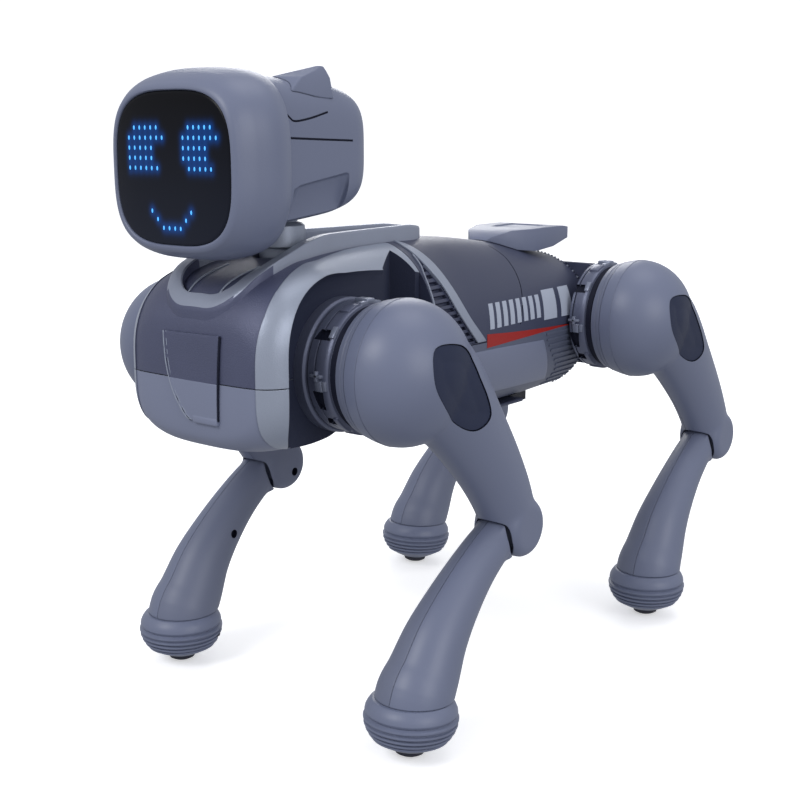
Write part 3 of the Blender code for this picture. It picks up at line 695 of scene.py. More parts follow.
def make_hatch():
    """The door in the chest: a plate with a curved left edge, a groove and a finger ledge."""
    left = ((-0.015, 0.1735), (-0.013, 0.16), (-0.0098, 0.15), (-0.004, 0.1412), (-0.001, 0.139))
    curve = spline(left, 24)
    outline = [*[tuple(p) for p in curve], (0.0148, 0.139), (0.0158, 0.156), (0.0165, 0.174)]
    door = keep(torso_solid("door", 0.0007), prism("outline", outline, -0.2, -0.14, "Y"))
    cut(door, torso_solid("under", -0.0005))
    top = slab(-0.2, -0.1, SEAM, 0.3)
    upper = painted(keep(copy_of(door, "upper"), top, spare=False), CHEST_DARK)
    painted(cut(door, top), CHEST_LIGHT)
    for half in (upper, door):
        bevelled(half, 0.00025, 2)
    parts = [door, upper]
    # The middle line of the left edge carries painted shade, for the shade in its groove.
    for shift, radius, finish in ((0.0, 0.00045, BAND), (0.0016, 0.00035, BAND), (0.0008, 0.0003, DEEP_PAINTED_SHADE)):
        path = [(x + shift, chest_front(x, z) - 0.0005, z) for x, z in curve]
        parts.append(painted(tube("edge", path, radius, 8, 50), finish))
    # The right-hand groove is lined with painted shade.
    right = ((0.0168, 0.1738), (0.0161, 0.156), (0.015, 0.14))
    path = [(x, chest_front(x, z) - 0.0003, z) for x, z in right]
    parts.append(painted(tube("groove", path, 0.0004, 8, 30), DEEP_PAINTED_SHADE))
    ledge_front = chest_front(0.008, 0.139) - 0.0012
    ledge = block("ledge", (0.001, ledge_front, 0.138), (0.015, ledge_front + 0.003, 0.1412), 0.0008)
    parts.append(painted(ledge, CHEST_LIGHT))
    item = merged(parts)
    item.name = "chest_door"
    shown(item, "torso", ["chest_hatch"])


def chest_front(x, z):
    """The y of the chest's front surface at x and z."""
    y = np.linspace(TORSO[0][0], -0.12, 240)
    half, top, bottom, upper, lower = section_at(y).T
    above = z >= SEAM
    reach = top - SEAM if above else SEAM - bottom
    square = upper if above else lower
    inside = (np.abs(x) / half) ** square + (abs(z - SEAM) / reach) ** square < 1
    return y[np.argmax(inside)]


# ---- Neck rim ----
RIM_TOP = (
    (-0.165, 0.1755),
    (-0.16, 0.1818),
    (-0.1545, 0.1893),
    (-0.145, 0.1975),
    (-0.125, 0.2045),
    (-0.11, 0.208),
    (-0.095, 0.2094),
    (-0.035, 0.2094),
    (-0.014, 0.2072),
    (0.01, 0.2045),
)


def rim_top(y):
    rows = np.array(RIM_TOP)
    return hermite(rows[:, 0], rows, np.atleast_1d(y))[:, 1]


def torso_top(x, y):
    half, top, _, upper, _ = section_at(y).T
    share = np.clip(np.abs(x) / half, 0, 1)
    return SEAM + (top - SEAM) * (1 - share**upper) ** (1 / upper)


def make_rim():
    """The raised rim round the neck's well, its top satin and its walls under the head darkened with painted
    shade.
    """
    outer = whole_outline(RIM_OUTSIDE, 200)
    inner = whole_outline(RIM_INSIDE, 200)
    # Share of the way across and drop below the top, round the rim's section.
    section = (
        (-0.02, None),
        (0.0, 0.0013),
        (0.04, 0.0005),
        (0.12, 0.0001),
        (0.5, 0.0),
        (0.86, 0.0002),
        (0.96, 0.0008),
        (1.0, 0.0018),
        (1.02, None),
    )
    rings = []
    for share, drop in section:
        plan = outer * (1 - share) + inner * share
        top = rim_top(plan[:, 1])
        floor = torso_top(plan[:, 0], plan[:, 1]) - 0.002
        height = floor if drop is None else np.maximum(top - drop, floor + 0.0005)
        rings.append(np.column_stack([plan, height]))
    rim = painted(loft("neck_well_rim", np.array(rings).transpose(1, 0, 2), looped=True), RIM)
    rim.data.materials.append(CHEST_DARK)
    # Painted shade: the rim's steep faces under the head take the dark chest finish.
    for face in rim.data.polygons:
        if face.center.y < -0.138 and face.normal.z < 0.5:
            face.material_index = 1
    shown(rim, "torso", ["neck_rim"])


# ---- Back ----
GILL_FIN = (
    (-0.0508, 0.2003), (-0.0481, 0.1973), (-0.049, 0.193),
    (-0.0512, 0.188), (-0.0519, 0.1766), (-0.0519, 0.1556),
)
GILL_INNER = (
    (-0.0472, 0.2006), (-0.0448, 0.1932), (-0.0397, 0.1843),
    (-0.0344, 0.1737), (-0.027, 0.164), (-0.019, 0.1556),
)
GILL_OUTER = (
    (-0.0463, 0.2027), (-0.0422, 0.2011), (-0.0375, 0.1948),
    (-0.032, 0.1827), (-0.0241, 0.1685), (-0.012, 0.1556),
)


def line_at(edge, z):
    """The y of a gill line at a height."""
    rows = np.array(edge)[::-1]
    return float(np.interp(z, rows[:, 1], rows[:, 0]))


def gill_cutter():
    """The recess behind the chest, left with a comb of ribs."""
    parts = [painted(skin("recess", GILL_FIN[1:], GILL_INNER[1:], 0.002, -0.0008), BODY)]
    for i in range(13):
        low = 0.1566 + i * 0.0031
        high = low + 0.0016
        edges = []
        for line, inset in ((GILL_FIN, 0.001), (GILL_INNER, -0.0006)):
            edges.append([(line_at(line, z) + inset, z) for z in (low, high)])
        parts.append(painted(skin("slot", *edges, 0.0005, -0.0026, 4, 6), BODY))
    return parts


def make_gill_bands():
    """The light arc and the thin fin on each side of the ribs."""
    arc = painted(skin("arc", GILL_OUTER, GILL_INNER, 0.0006, -0.0015), BAND)
    fin_back = [(y + 0.0011, z) for y, z in GILL_FIN[1:]]
    fin = painted(skin("fin", GILL_FIN[1:], fin_back, 0.0006, -0.0025, 40, 4), RIM)
    for piece in (arc, fin):
        bevelled(piece, 0.0003, 2)
    shown(both_sides(merged([arc, fin])), "torso").name = "gill_bands"


def make_back():
    whole = torso_solid("whole")
    upper = keep(copy_of(whole, "back_upper"), slab(CHEST_END + GAP, BODY_END, SEAM + GAP, 0.3))
    painted(upper, BODY)
    lower = painted(keep(whole, slab(CHEST_END + GAP, BODY_END, 0.0, SEAM - GAP)), BODY_LIGHT)
    lower.name = "belly"
    for piece in gill_cutter():
        cut(upper, both_sides(piece))
    # The groove behind the gill is lined with painted shade.
    groove = ((0.0262, 0.196), (0.028, 0.1905), (0.0262, 0.18), (0.0225, 0.17), (0.018, 0.16))
    behind = [(y + 0.0006, z) for y, z in groove]
    cut(upper, both_sides(painted(skin("groove", groove, behind, 0.001, -0.0005), DEEP_PAINTED_SHADE)))
    # Painted shade lines the walls of the bay and the port in the belly.
    cut(lower, painted(block("bay", (-0.0204, -0.0184, 0.1), (0.0204, 0.0504, 0.119)), DEEP_PAINTED_SHADE))
    cut(lower, painted(block("port", (-0.0082, 0.0576, 0.1), (0.0082, 0.0714, 0.119)), DEEP_PAINTED_SHADE))
    shown(upper, "torso", ["back_upper_shell"])
    shown(lower, "torso", ["belly_shell"])


def make_marks():
    """Generic printed bars and blocks with the long red wedge under them, on both flanks."""
    parts = []
    for i in range(8):
        share = i / 7.4
        y = -0.008 + share * 0.044
        low, high = 0.1604 + share * 0.0008, 0.1722
        slant = 0.0012
        wide = 0.0036
        edge_a = ((y, low), (y + slant, high))
        edge_b = ((y + wide, low), (y + wide + slant, high))
        parts.append(painted(skin("bar", edge_a, edge_b, 0.00012, -0.0003, 8, 4), PRINT))
    for y, wide in ((0.04, 0.0125), (0.057, 0.0105)):
        edge_a = ((y, 0.1594), (y + 0.0022, 0.1738))
        edge_b = ((y + wide, 0.1594), (y + wide + 0.0022, 0.1738))
        parts.append(painted(skin("block", edge_a, edge_b, 0.00012, -0.0003, 10, 6), PRINT))
    top = ((-0.0109, 0.1585), (0.02, 0.1565), (0.064, 0.1548))
    bottom = ((-0.0109, 0.152), (0.02, 0.153), (0.064, 0.1544))
    parts.append(painted(skin("wedge", top, bottom, 0.00014, -0.0003, 60, 8), RED))
    shown(both_sides(merged(parts)), "torso").name = "flank_marks"


def make_grip():
    """Ribs round the lower rear of the body, with the toothed edge of its end."""
    parts = []
    for i in range(11):
        z = 0.1527 - i * 0.0031
        front = float(np.interp(z, (0.118, 0.1321, 0.1428, 0.1507), (0.068, 0.0636, 0.0499, 0.0424)))
        edge_a = ((front, z), (0.0858, z + 0.0003))
        edge_b = ((front, z - 0.0012), (0.0858, z - 0.0009))
        parts.append(painted(skin("rib", edge_a, edge_b, 0.0005, -0.0003, 24, 4), BODY_LIGHT))
    for i in range(46):
        turn = math.radians(-66 + i * 3.4)
        point = skin_point(0.0862, turn)[0]
        tooth = block("tooth", (-0.0005, -0.0006, -0.0005), (0.0005, 0.0006, 0.0005), 0.0002, 1)
        tooth.data.transform(Matrix.Translation(Vector(point)) @ Matrix.Rotation(-turn, 4, "Y"))
        parts.append(painted(tooth, RIM if i % 2 else BODY))
    shown(both_sides(merged(parts)), "torso").name = "grip_ribs"


def make_belly_panel():
    """The lighter smooth panel low on each flank."""
    top = ((-0.05, 0.1512), (-0.0106, 0.151), (0.015, 0.1503), (0.04, 0.1495))
    bottom = ((-0.05, 0.129), (-0.0106, 0.127), (0.03, 0.1262), (0.061, 0.1255))
    panel = painted(skin("flank_panels", top, bottom, 0.0003, -0.0005, 50, 14), CHEST_LIGHT)
    shown(both_sides(bevelled(panel, 0.0002, 2)), "torso").name = "flank_panels"


def make_tail_fin():
    """The low spoiler over the tail, a thin wedge with side wings."""
    outline = (
        (0.0345, 0.1966), (0.038, 0.1992), (0.046, 0.202), (0.065, 0.2029),
        (0.085, 0.2029), (0.0898, 0.2022), (0.0898, 0.1965), (0.076, 0.1927),
        (0.06, 0.1912), (0.04, 0.1932),
    )
    fin = prism("spoiler", outline, -0.02, 0.02, "X")
    plan = (
        (-0.004, 0.0345), (0.004, 0.0345), (0.012, 0.044), (0.0195, 0.062),
        (0.0199, 0.0898), (-0.0199, 0.0898), (-0.0195, 0.062), (-0.012, 0.044),
    )
    keep(fin, prism("plan", plan, 0.1, 0.3, "Z"))
    cut(fin, torso_solid("body", 0.0003))
    painted(bevelled(fin, 0.0006, 3, 25), SHELL)
    dip_top = ((-0.009, 0.06), (0.009, 0.06), (0.012, 0.086), (-0.012, 0.086))
    cut(fin, painted(bevelled(prism("dip", dip_top, 0.2021, 0.21, "Z"), 0.0008), SHELL))
    fin.name = "spoiler"
    shown(fin, "torso", ["tail_fin"])


def make_rump():
    """The housing across the tail end between the rear hubs."""
    end = 0.0384
    profile = ((-end, 0.0236), (-end + 0.0008, 0.0242), (-0.036, 0.0258), (-0.0345, 0.0265))
    profile = (*profile, *[(-x, r) for x, r in reversed(profile)])
    shell = turned("rump", profile, (1, 0, 0), (0, REAR_HIP_Y, HIP.z))
    join(shell, block("box", (-0.034, 0.0869, 0.1335), (0.034, 0.1108, 0.1788), 0.0062, 5))
    cut(shell, block("behind", (-0.1, 0.0, 0.0), (0.1, 0.0869, 0.3)))
    for z in (0.145, 0.1573, 0.1696):
        cut(shell, block("line", (-0.026, 0.1104, z - 0.0004), (0.026, 0.12, z + 0.0004)))
    shown(painted(shell, BODY), "torso", ["rump_shell"])


# ---- Head ----
def head_solid(name, table, offset=0.0, count=50, sides=128):
    turns = ring_turns(sides)
    rings = []
    for y, width, height, middle, square in smooth_rows(table, count, 4):
        x = (width + offset) * squared(np.cos(turns), square)
        z = middle + (height + offset) * squared(np.sin(turns), square)
        rings.append(np.column_stack([x, np.full(sides, y), z]))
    return loft(name, rings)


def face_ring(y, inset, sides=128):
    _, width, height, middle, square = DOME[0]
    turns = ring_turns(sides)
    x = (width - inset) * squared(np.cos(turns), square)
    z = middle + (height - inset) * squared(np.sin(turns), square)
    return np.column_stack([x, np.full(sides, y), z])


def make_face():
    """The helmet: a soft rounded square whose lip turns in to the screen."""
    turns = ring_turns(128)
    lip = ((-0.164, 0.0026), (-0.1669, 0.0025), (-0.1674, 0.0021), (-0.1674, 0.0015), (-0.167, 0.0007))
    rings = [face_ring(y, inset) for y, inset in lip]
    for y, width, height, middle, square in smooth_rows(DOME, 56, 4):
        x = width * squared(np.cos(turns), square)
        z = middle + height * squared(np.sin(turns), square)
        rings.append(np.column_stack([x, np.full(128, y), z]))
    shown(painted(loft("helmet", rings), SHELL), "head", ["face_shell"], 50)


# Lamps on the screen: lit columns of each row of the two eyes, then the mouth's points.
EYE_ROWS = (0.2526, 0.2488, 0.245, 0.2412, 0.2374)
EYES = (
    (-0.0229, -0.004, (range(1, 6), range(0, 7), range(0, 5), range(0, 5), range(0, 6))),
    (0.0076, 0.0254, (range(1, 6), range(0, 7), range(0, 5), range(0, 5), range(1, 6))),
)
SMILE = (
    (0.0, -0.0109), (0.0031, -0.0078), (0.0063, -0.0046), (0.0063, -0.0014),
    (0.0063, 0.0018), (0.0063, 0.0049), (0.0031, 0.008), (0.0, 0.011),
)


def lamp_places():
    places = []
    for first, last, rows in EYES:
        for z, row in zip(EYE_ROWS, rows):
            for column in row:
                places.append((first + (last - first) * column / 6, z))
    for drop, x in SMILE:
        places.append((x, 0.2212 - drop))
    return np.array(places)


def screen_material():
    """Gloss black glass with painted light that makes it a little lighter low down; it glows where its lamp
    attribute is.
    """
    material = bpy.data.materials.new("screen_glass")
    material.use_nodes = True
    tree = material.node_tree
    shader = tree.nodes["Principled BSDF"]
    shader.inputs["Roughness"].default_value = 0.28
    shader.inputs["Specular IOR Level"].default_value = 0.12
    place = tree.nodes.new("ShaderNodeTexCoord")
    apart = tree.nodes.new("ShaderNodeSeparateXYZ")
    link(tree, place.outputs["Object"], apart.inputs[0])
    height = add_node(tree, "ShaderNodeMapRange")
    height.inputs["From Min"].default_value = 0.207
    height.inputs["From Max"].default_value = 0.262
    link(tree, apart.outputs["Z"], height.inputs["Value"])
    # Painted light: the glass is mixed a little lighter low down and darker high up.
    shade = tree.nodes.new("ShaderNodeMix")
    shade.data_type = "RGBA"
    shade.inputs["A"].default_value = (0.012, 0.015, 0.027, 1)
    shade.inputs["B"].default_value = (0.0012, 0.0014, 0.0035, 1)
    link(tree, height.outputs["Result"], shade.inputs["Factor"])
    link(tree, shade.outputs["Result"], shader.inputs["Base Color"])
    glow = tree.nodes.new("ShaderNodeAttribute")
    glow.attribute_name = "glow"
    shader.inputs["Emission Color"].default_value = (0.0005, 0.036, 0.18, 1)
    link(tree, glow.outputs["Fac"], shader.inputs["Emission Strength"])
    return material


def make_screen():
    """The screen, gently domed, with a soft glow painted round each lamp."""
    middle = DOME[0][3]
    rings = []
    for share in (*np.linspace(0.004, 0.96, 96), 0.985, 1.0):
        y = -0.1679 + 0.0009 * share**4 + (0.0003 if share == 1.0 else 0)
        ring = face_ring(y, 0.0027, 192)
        ring[:, 0] *= share
        ring[:, 2] = middle + (ring[:, 2] - middle) * share
        rings.append(ring)
    rings.append(face_ring(-0.1645, 0.0027, 192))
    lens = painted(loft("screen", rings), screen_material())
    points = np.array([v.co for v in lens.data.vertices])
    lamps = lamp_places()
    glow = np.zeros(len(points))
    for x, z in lamps:
        gap = ((points[:, 0] - x) / 0.00165) ** 2 + ((points[:, 2] - z) / 0.0022) ** 2
        glow += np.exp(-gap)
    glow = np.clip(glow, 0, 1.0) * (points[:, 1] < -0.166)
    lens.data.attributes.new("glow", "FLOAT", "POINT").data.foreach_set("value", glow.astype(np.float32))
    shown(lens, "head", ["screen_lens"], 50)
    make_lamps(lamps)


def make_lamps(lamps):
    """The bright upright cores of the lamps, just under the screen's face."""
    lit = bpy.data.materials.new("lamp_cores")
    lit.use_nodes = True
    shader = lit.node_tree.nodes["Principled BSDF"]
    shader.inputs["Base Color"].default_value = (0.05, 0.25, 0.6, 1)
    shader.inputs["Emission Color"].default_value = (0.07, 0.42, 1.0, 1)
    shader.inputs["Emission Strength"].default_value = 1.0
    profile = ((0.0, 0.3), (0.00008, 0.24), (0.00014, 0.1), (0.00016, 0.02))
    cores = []
    for x, z in lamps:
        core = turned("core", [(d, r * 0.0016) for d, r in profile], (0, -1, 0), (0, 0, 0), 12)
        core.data.transform(Matrix.Scale(1.75, 4, (0, 0, 1)))
        core.data.transform(Matrix.Translation((x, -0.16795, z)))
        cores.append(painted(core, lit))
    shown(merged(cores), "head").name = "screen_lamps"


def pod_side(y, z):
    """The x of the pod's left side at y and z."""
    rows = smooth_rows(POD, 60, 4)
    width, height, middle, square = [np.interp(y, rows[:, 0], rows[:, i]) for i in range(1, 5)]
    share = min(abs(z - middle) / height, 1.0)
    return width * (1 - share**square) ** (1 / square)


def make_pod():
    """The box behind the face, with its side slot, ear patch and lower scoop."""
    pod = painted(head_solid("pod", POD, count=70), SHELL)
    cut(pod, head_solid("face", DOME, 0.0003))
    slot = [(pod_side(y, z), y, z) for y, z in ((-0.1385, 0.2488), (-0.115, 0.2481), (-0.093, 0.2475))]
    patch = (
        (-0.1375, 0.264), (-0.1346, 0.259), (-0.1318, 0.2562), (-0.1285, 0.255),
        (-0.1192, 0.2563), (-0.1086, 0.2587),
    )
    patch = [(pod_side(y, z), y, z) for y, z in patch]
    # The grooves are lined with painted shade.
    for path, radius in ((slot, 0.00042), (patch, 0.0004)):
        cut(pod, both_sides(painted(tube("groove", path, radius, 8, 60), DEEP_PAINTED_SHADE)))
    cut(pod, both_sides(scoop_cutter()))
    pod.name = "pod_case"
    shown(pod, "head", ["head_rear_shell"])


def scoop_cutter():
    """The recess low on the pod's side: deep under its sloping top edge, fading out below."""
    rings = []
    for share in np.linspace(0, 1, 16):
        y = -0.13 + 0.0345 * share
        z = 0.2312 + 0.005 * share
        deep = 0.002 * min(1.0, 6 * share + 0.1, 12 * (1 - share) + 0.2)
        side = pod_side(y, z)
        low = z - 0.015 - 0.0015 * share
        rings.append([
            (side - deep, y, z - 0.0022),
            (side + 0.004, y, z + 0.0012),
            (side + 0.006, y, low),
            (pod_side(y, low) + 0.0002, y, low),
        ])
    return bevelled(painted(loft("scoop", rings), SHELL), 0.0005, 2)


def make_ears():
    """The pointed fins, each a sloping front face and a flat outer face with soft edges."""
    base = ((0.012, -0.1365), (0.0262, -0.131), (0.0264, -0.1035), (0.015, -0.1035))
    middle = ((0.015, -0.129), (0.0254, -0.1215), (0.0252, -0.1042), (0.0182, -0.1045))
    upper = ((0.0192, -0.1178), (0.024, -0.1125), (0.0241, -0.1052), (0.0205, -0.1055))
    tip = ((0.0218, -0.1095), (0.0232, -0.1085), (0.0234, -0.1064), (0.0222, -0.1064))
    sections = ((base, 0.264), (middle, 0.272), (upper, 0.2748), (tip, 0.2767))
    rings = [[(x, y, z) for x, y in outline] for outline, z in sections]
    left = bevelled(painted(loft("ear", rings), SHELL), 0.0007, 4, 20)
    cut(left, head_solid("pod", POD, 0.0001, 40))
    shown(copy_of(left, "fin_ear_right", -1), "head", ["ear_right"])
    left.name = "fin_ear_left"
    shown(left, "head", ["ear_left"])


def make_neck_post():
    """The neck's stem with the collar it turns on."""
    profile = (
        (0.1933, 0.0085), (0.2038, 0.0085), (0.204, 0.0102), (0.2046, 0.0109), (0.21, 0.0109),
        (0.213, 0.0106), (0.214, 0.0095), (0.2146, 0.0076), (0.2209, 0.0075),
    )
    post = painted(turned("neck_stem", profile, (0, 0, 1), (0, NECK.y, 0)), BAND)
    shown(post, "head", ["neck_post"])


# ---- Hubs ----
def wrap(name, low_x, high_x, low_turn, high_turn, low_r, high_r, material):
    """A curved tile on a hub; turns are degrees up from the front."""
    rings = []
    count = max(3, int((high_turn - low_turn) / 3))
    for turn in np.radians(np.linspace(low_turn, high_turn, count)):
        corners = ((low_x, low_r), (high_x, low_r), (high_x, high_r), (low_x, high_r))
        rings.append([(x, -r * math.cos(turn), r * math.sin(turn)) for x, r in corners])
    return painted(loft(name, rings), material)


def tapered_window(low_x, high_x, turn, spread, lean):
    """A trapezoid opening in a hub's drum, lined with painted shade."""
    rings = []
    for share in np.linspace(-1, 1, 7):
        angle = math.radians(turn + share * spread)
        shift = lean * share
        near, far = low_x + shift, high_x - shift
        corners = ((near, 0.0252), (far, 0.0252), (far, 0.029), (near, 0.029))
        rings.append([(x, -r * math.cos(angle), r * math.sin(angle)) for x, r in corners])
    return painted(loft("window", rings), DEEP_PAINTED_SHADE)


# Windows: low and high x, middle turn, half spread and lean. Tiles: low and high x and turn, and finish.
HUB_WINDOWS = (
    (0.0381, 0.0449, 36, 5, 0.0009),
    (0.0395, 0.044, -23, 9, -0.0006),
    (0.04, 0.0462, -47, 5, 0.0009),
    (0.0395, 0.045, 118, 7, 0.0006),
    (0.0395, 0.045, 205, 8, 0.0006),
    (0.0395, 0.045, 250, 8, 0.0006),
)
HUB_TILES = (
    (0.045, 0.0474, 33, 44, HUB_PLATE),
    (0.0418, 0.047, 62, 76, HUB),
    (0.0448, 0.0474, 78, 104, HUB_PLATE),
    (0.0452, 0.047, -12, -4, HUB_PLATE),
    (0.0414, 0.0448, -13, -4, HUB_PLATE),
    (0.045, 0.0474, -62, -40, HUB),
    (0.042, 0.047, 130, 165, HUB),
    (0.042, 0.047, 268, 292, HUB),
)


def make_hub_pattern(inner_x):
    """A hip drum: stepped rings, windows, plates, a clip on top and a small cross lever."""
    r = HUB_RADIUS
    profile = (
        (inner_x, r - 0.001), (inner_x + 0.0004, r - 0.0003), (0.0404, r - 0.0003), (0.0405, r - 0.0013),
        (0.0411, r - 0.0013), (0.0412, r - 0.0002), (0.0452, r), (0.0468, r), (0.0475, r - 0.0004),
        (0.0479, r - 0.0014), (0.0481, r - 0.003), (0.0482, 0.006), (0.062, 0.0058),
    )
    drum = painted(turned("drum", profile, (1, 0, 0), (0, 0, 0)), HUB)
    for window in HUB_WINDOWS:
        cut(drum, tapered_window(*window))
    parts = [drum]
    for *place, material in HUB_TILES:
        tile = wrap("tile", *place, r - 0.0012, r + 0.0007, material)
        parts.append(bevelled(tile, 0.0002, 2))
    clip = block("clip", (0.0405, -0.0022, r - 0.001), (0.0476, 0.0026, r + 0.0014), 0.0006)
    notch = block("notch", (0.0434, -0.0012, r + 0.0004), (0.0444, 0.004, r + 0.003))
    parts.append(painted(cut(clip, notch), HUB_PLATE))
    for across, up in ((0.003, 0.0006), (0.0007, 0.002)):
        low, high = (0.042 - across, -r - 0.001, -up), (0.042 + across, -r + 0.001, up)
        parts.append(painted(block("arm", low, high, 0.0002, 2), HUB_PLATE))
    # A near-black ring of painted shade in the gap between the drum and the hip ball.
    lip = ((0.0478, 0.02), (0.0479, 0.0257), (0.0506, 0.0257), (0.0509, 0.0253), (0.051, 0.02))
    parts.append(painted(turned("gap_shade_ring", lip, (1, 0, 0), (0, 0, 0)), DEEP_PAINTED_SHADE))
    return merged(parts)


# ---- Legs: left-hand patterns measured from the hip ----
def limb_rings(table, count, sides, inset=0.0):
    """Rings square to a limb's middle line, each an ellipse across the leg."""
    rows = smooth_rows(table, count, 2)
    middles = np.column_stack([np.full(count, LEG_X), rows[:, 0], rows[:, 1]])
    along = np.gradient(middles, axis=0)
    along /= np.linalg.norm(along, axis=1)[:, None]
    turns = ring_turns(sides)
    rings = []
    for i, (_, _, depth, width) in enumerate(rows):
        normal = np.array((0.0, -along[i, 2], along[i, 1]))
        across = np.outer(np.cos(turns) * (width - inset), (1, 0, 0))
        rings.append(middles[i] + across + np.outer(np.sin(turns) * (depth - inset), normal))
    return rings


def ball_profile():
    """The hip ball's profile, from its grooved edge by the hub to its pole."""
    profile = [
        (0.0514, 0.0262), (0.052, 0.0272), (0.0545, 0.0279), (0.0548, 0.0277),
        (0.0554, 0.0277), (0.0557, 0.0284), (0.06, 0.0294),
    ]
    for i in range(17):
        turn = math.radians(90 * i / 16)
        radius = max(BALL_RADIUS * math.cos(turn), 0.0006)
        profile.append((0.064 + 0.027 * math.sin(turn), radius))
    return profile


def thigh_body():
    """The hip ball flowing into the limb and its round lower lobe."""
    soft_ball = [(0.053, 0.0272), (0.06, 0.0292), *ball_profile()[7:]]
    body = turned("thigh", soft_ball, (1, 0, 0), (0, 0, 0))
    join(body, loft("limb", limb_rings(THIGH, 30, 48)))
    half = THIGH[-1][3]
    rounding = ((0.0, 0.0096), (0.0012, 0.0118), (0.0035, 0.0133))
    lobe = [(inset - half, r) for inset, r in rounding]
    lobe += [(half - inset, r) for inset, r in reversed(rounding)]
    join(body, turned("lobe", lobe, (1, 0, 0), (LEG_X, KNEE_BACK, -KNEE_DROP)))
    return smoothed(body, 0.00085, 20)


BEAN = (
    (-0.0098, 0.0122), (0.0045, 0.013), (0.0142, 0.0076), (0.0196, -0.0014), (0.0256, -0.0102),
    (0.0277, -0.0175), (0.0193, -0.0222), (0.0089, -0.0195), (-0.0044, -0.0104), (-0.0116, -0.0003),
)


def bean_prism(grown, low, high):
    """The bean outline on the outside of a thigh, as a straight solid."""
    outline = spline(BEAN, 72, closed=True)
    ahead = np.roll(outline, -1, axis=0) - np.roll(outline, 1, axis=0)
    ahead /= np.linalg.norm(ahead, axis=1)[:, None]
    outline = outline + grown * np.column_stack([-ahead[:, 1], ahead[:, 0]])
    return prism("bean", outline, low, high, "X")


def shin_pocket():
    """The room that the top of the shin takes in front of the thigh's lobe."""
    return loft("pocket", limb_rings(SHIN[:4], 24, 48, -0.0006))


# Screw holes are lined with painted shade.
def screw_hole(centre, start, end, radius=0.0021):
    return painted(rod("screw_hole", (1, 0, 0), centre, start, end, radius, 32), DEEP_PAINTED_SHADE)


def make_thigh_patterns():
    body = painted(thigh_body(), SHELL)
    for turn in (0.0, -3.5, -7.0):
        knee = Vector((0, KNEE_BACK, -KNEE_DROP))
        pocket = shin_pocket()
        swing = Matrix.Rotation(math.radians(turn), 4, "X")
        pocket.data.transform(Matrix.Translation(knee) @ swing @ Matrix.Translation(-knee))
        cut(body, painted(pocket, SHELL))
    panel = bean_floor(copy_of(body, "core"))
    # The bean's walls get painted shade.
    cut(body, painted(bean_prism(0.0003, 0.076, 0.1), DEEP_PAINTED_SHADE))
    profile = ball_profile()[:8] + [(0.064, 0.0298), (0.066, 0.02)]
    collar = painted(turned("collar", profile, (1, 0, 0), (0, 0, 0)), SHELL)
    cut(body, rod("front", (1, 0, 0), (0, 0, 0), 0.04, 0.0601, 0.04))
    join(body, collar)
    face = rod("near", (1, 0, 0), (0, 0, 0), 0.0576, 0.1, 0.0345, 96)
    rest = block("beyond", (0.0702, -0.1, -0.2), (0.1, 0.2, 0.2))
    near = join(face, rest)
    outer = keep(copy_of(body, "outer"), near, spare=False)
    near.data.transform(Matrix.Translation((-0.00022, 0, 0)))
    # The thigh's inner half gets the shell's darker copy, painted shade.
    inner = painted(cut(body, near), SHELL_PAINTED_SHADE)
    cut(inner, screw_hole((0, KNEE_BACK + 0.0035, -KNEE_DROP - 0.0045), 0.05, 0.0655))
    return outer, inner, panel


def bean_floor(core):
    """The dark hollowed panel that sits in the bean."""
    panel = keep(bean_prism(-0.0001, 0.0765, 0.1), moved_skin(core, -0.0003))
    edge = spline(BEAN, 72, closed=True)
    for vert in panel.data.vertices:
        if vert.co.x > 0.077:
            gap = np.min(np.linalg.norm(edge - np.array((vert.co.y, vert.co.z)), axis=1))
            vert.co.x -= 0.0016 * min(gap / 0.0065, 1.0) ** 0.8
    return painted(panel, INLAY)


def make_shin_patterns():
    """The shin's two halves, saddled round the thigh's lobe."""
    shin = loft("shin", limb_rings(SHIN, 46, 64))
    knee = (0, KNEE_BACK, -KNEE_DROP)
    cap = ((-0.0086, 0.005), (-0.007, 0.0085), (0.007, 0.0085), (0.0086, 0.005))
    join(shin, turned("cap", cap, (1, 0, 0), (LEG_X, SHIN[0][0] - 0.006, SHIN[0][1] - 0.0035)))
    smoothed(shin, 0.0007, 6)
    cut(shin, rod("flat", (0, 0, 1), (LEG_X, 0.003, -0.1573), -0.02, 0.0244, 0.04))
    painted(cut(shin, rod("lobe", (1, 0, 0), knee, 0.05, 0.1, 0.014)), SHELL)
    outer = keep(copy_of(shin, "outer"), block("out", (LEG_X + 0.0001, -0.2, -0.2), (0.2, 0.2, 0.2)))
    inner = cut(shin, block("in", (LEG_X - 0.0001, -0.2, -0.2), (0.2, 0.2, 0.2)))
    # The shin's inner half gets the shell's darker copy, painted shade.
    painted(inner, SHELL_PAINTED_SHADE)
    cut(inner, screw_hole((0, 0.027, -0.099), 0.05, LEG_X - 0.0088))
    return outer, inner


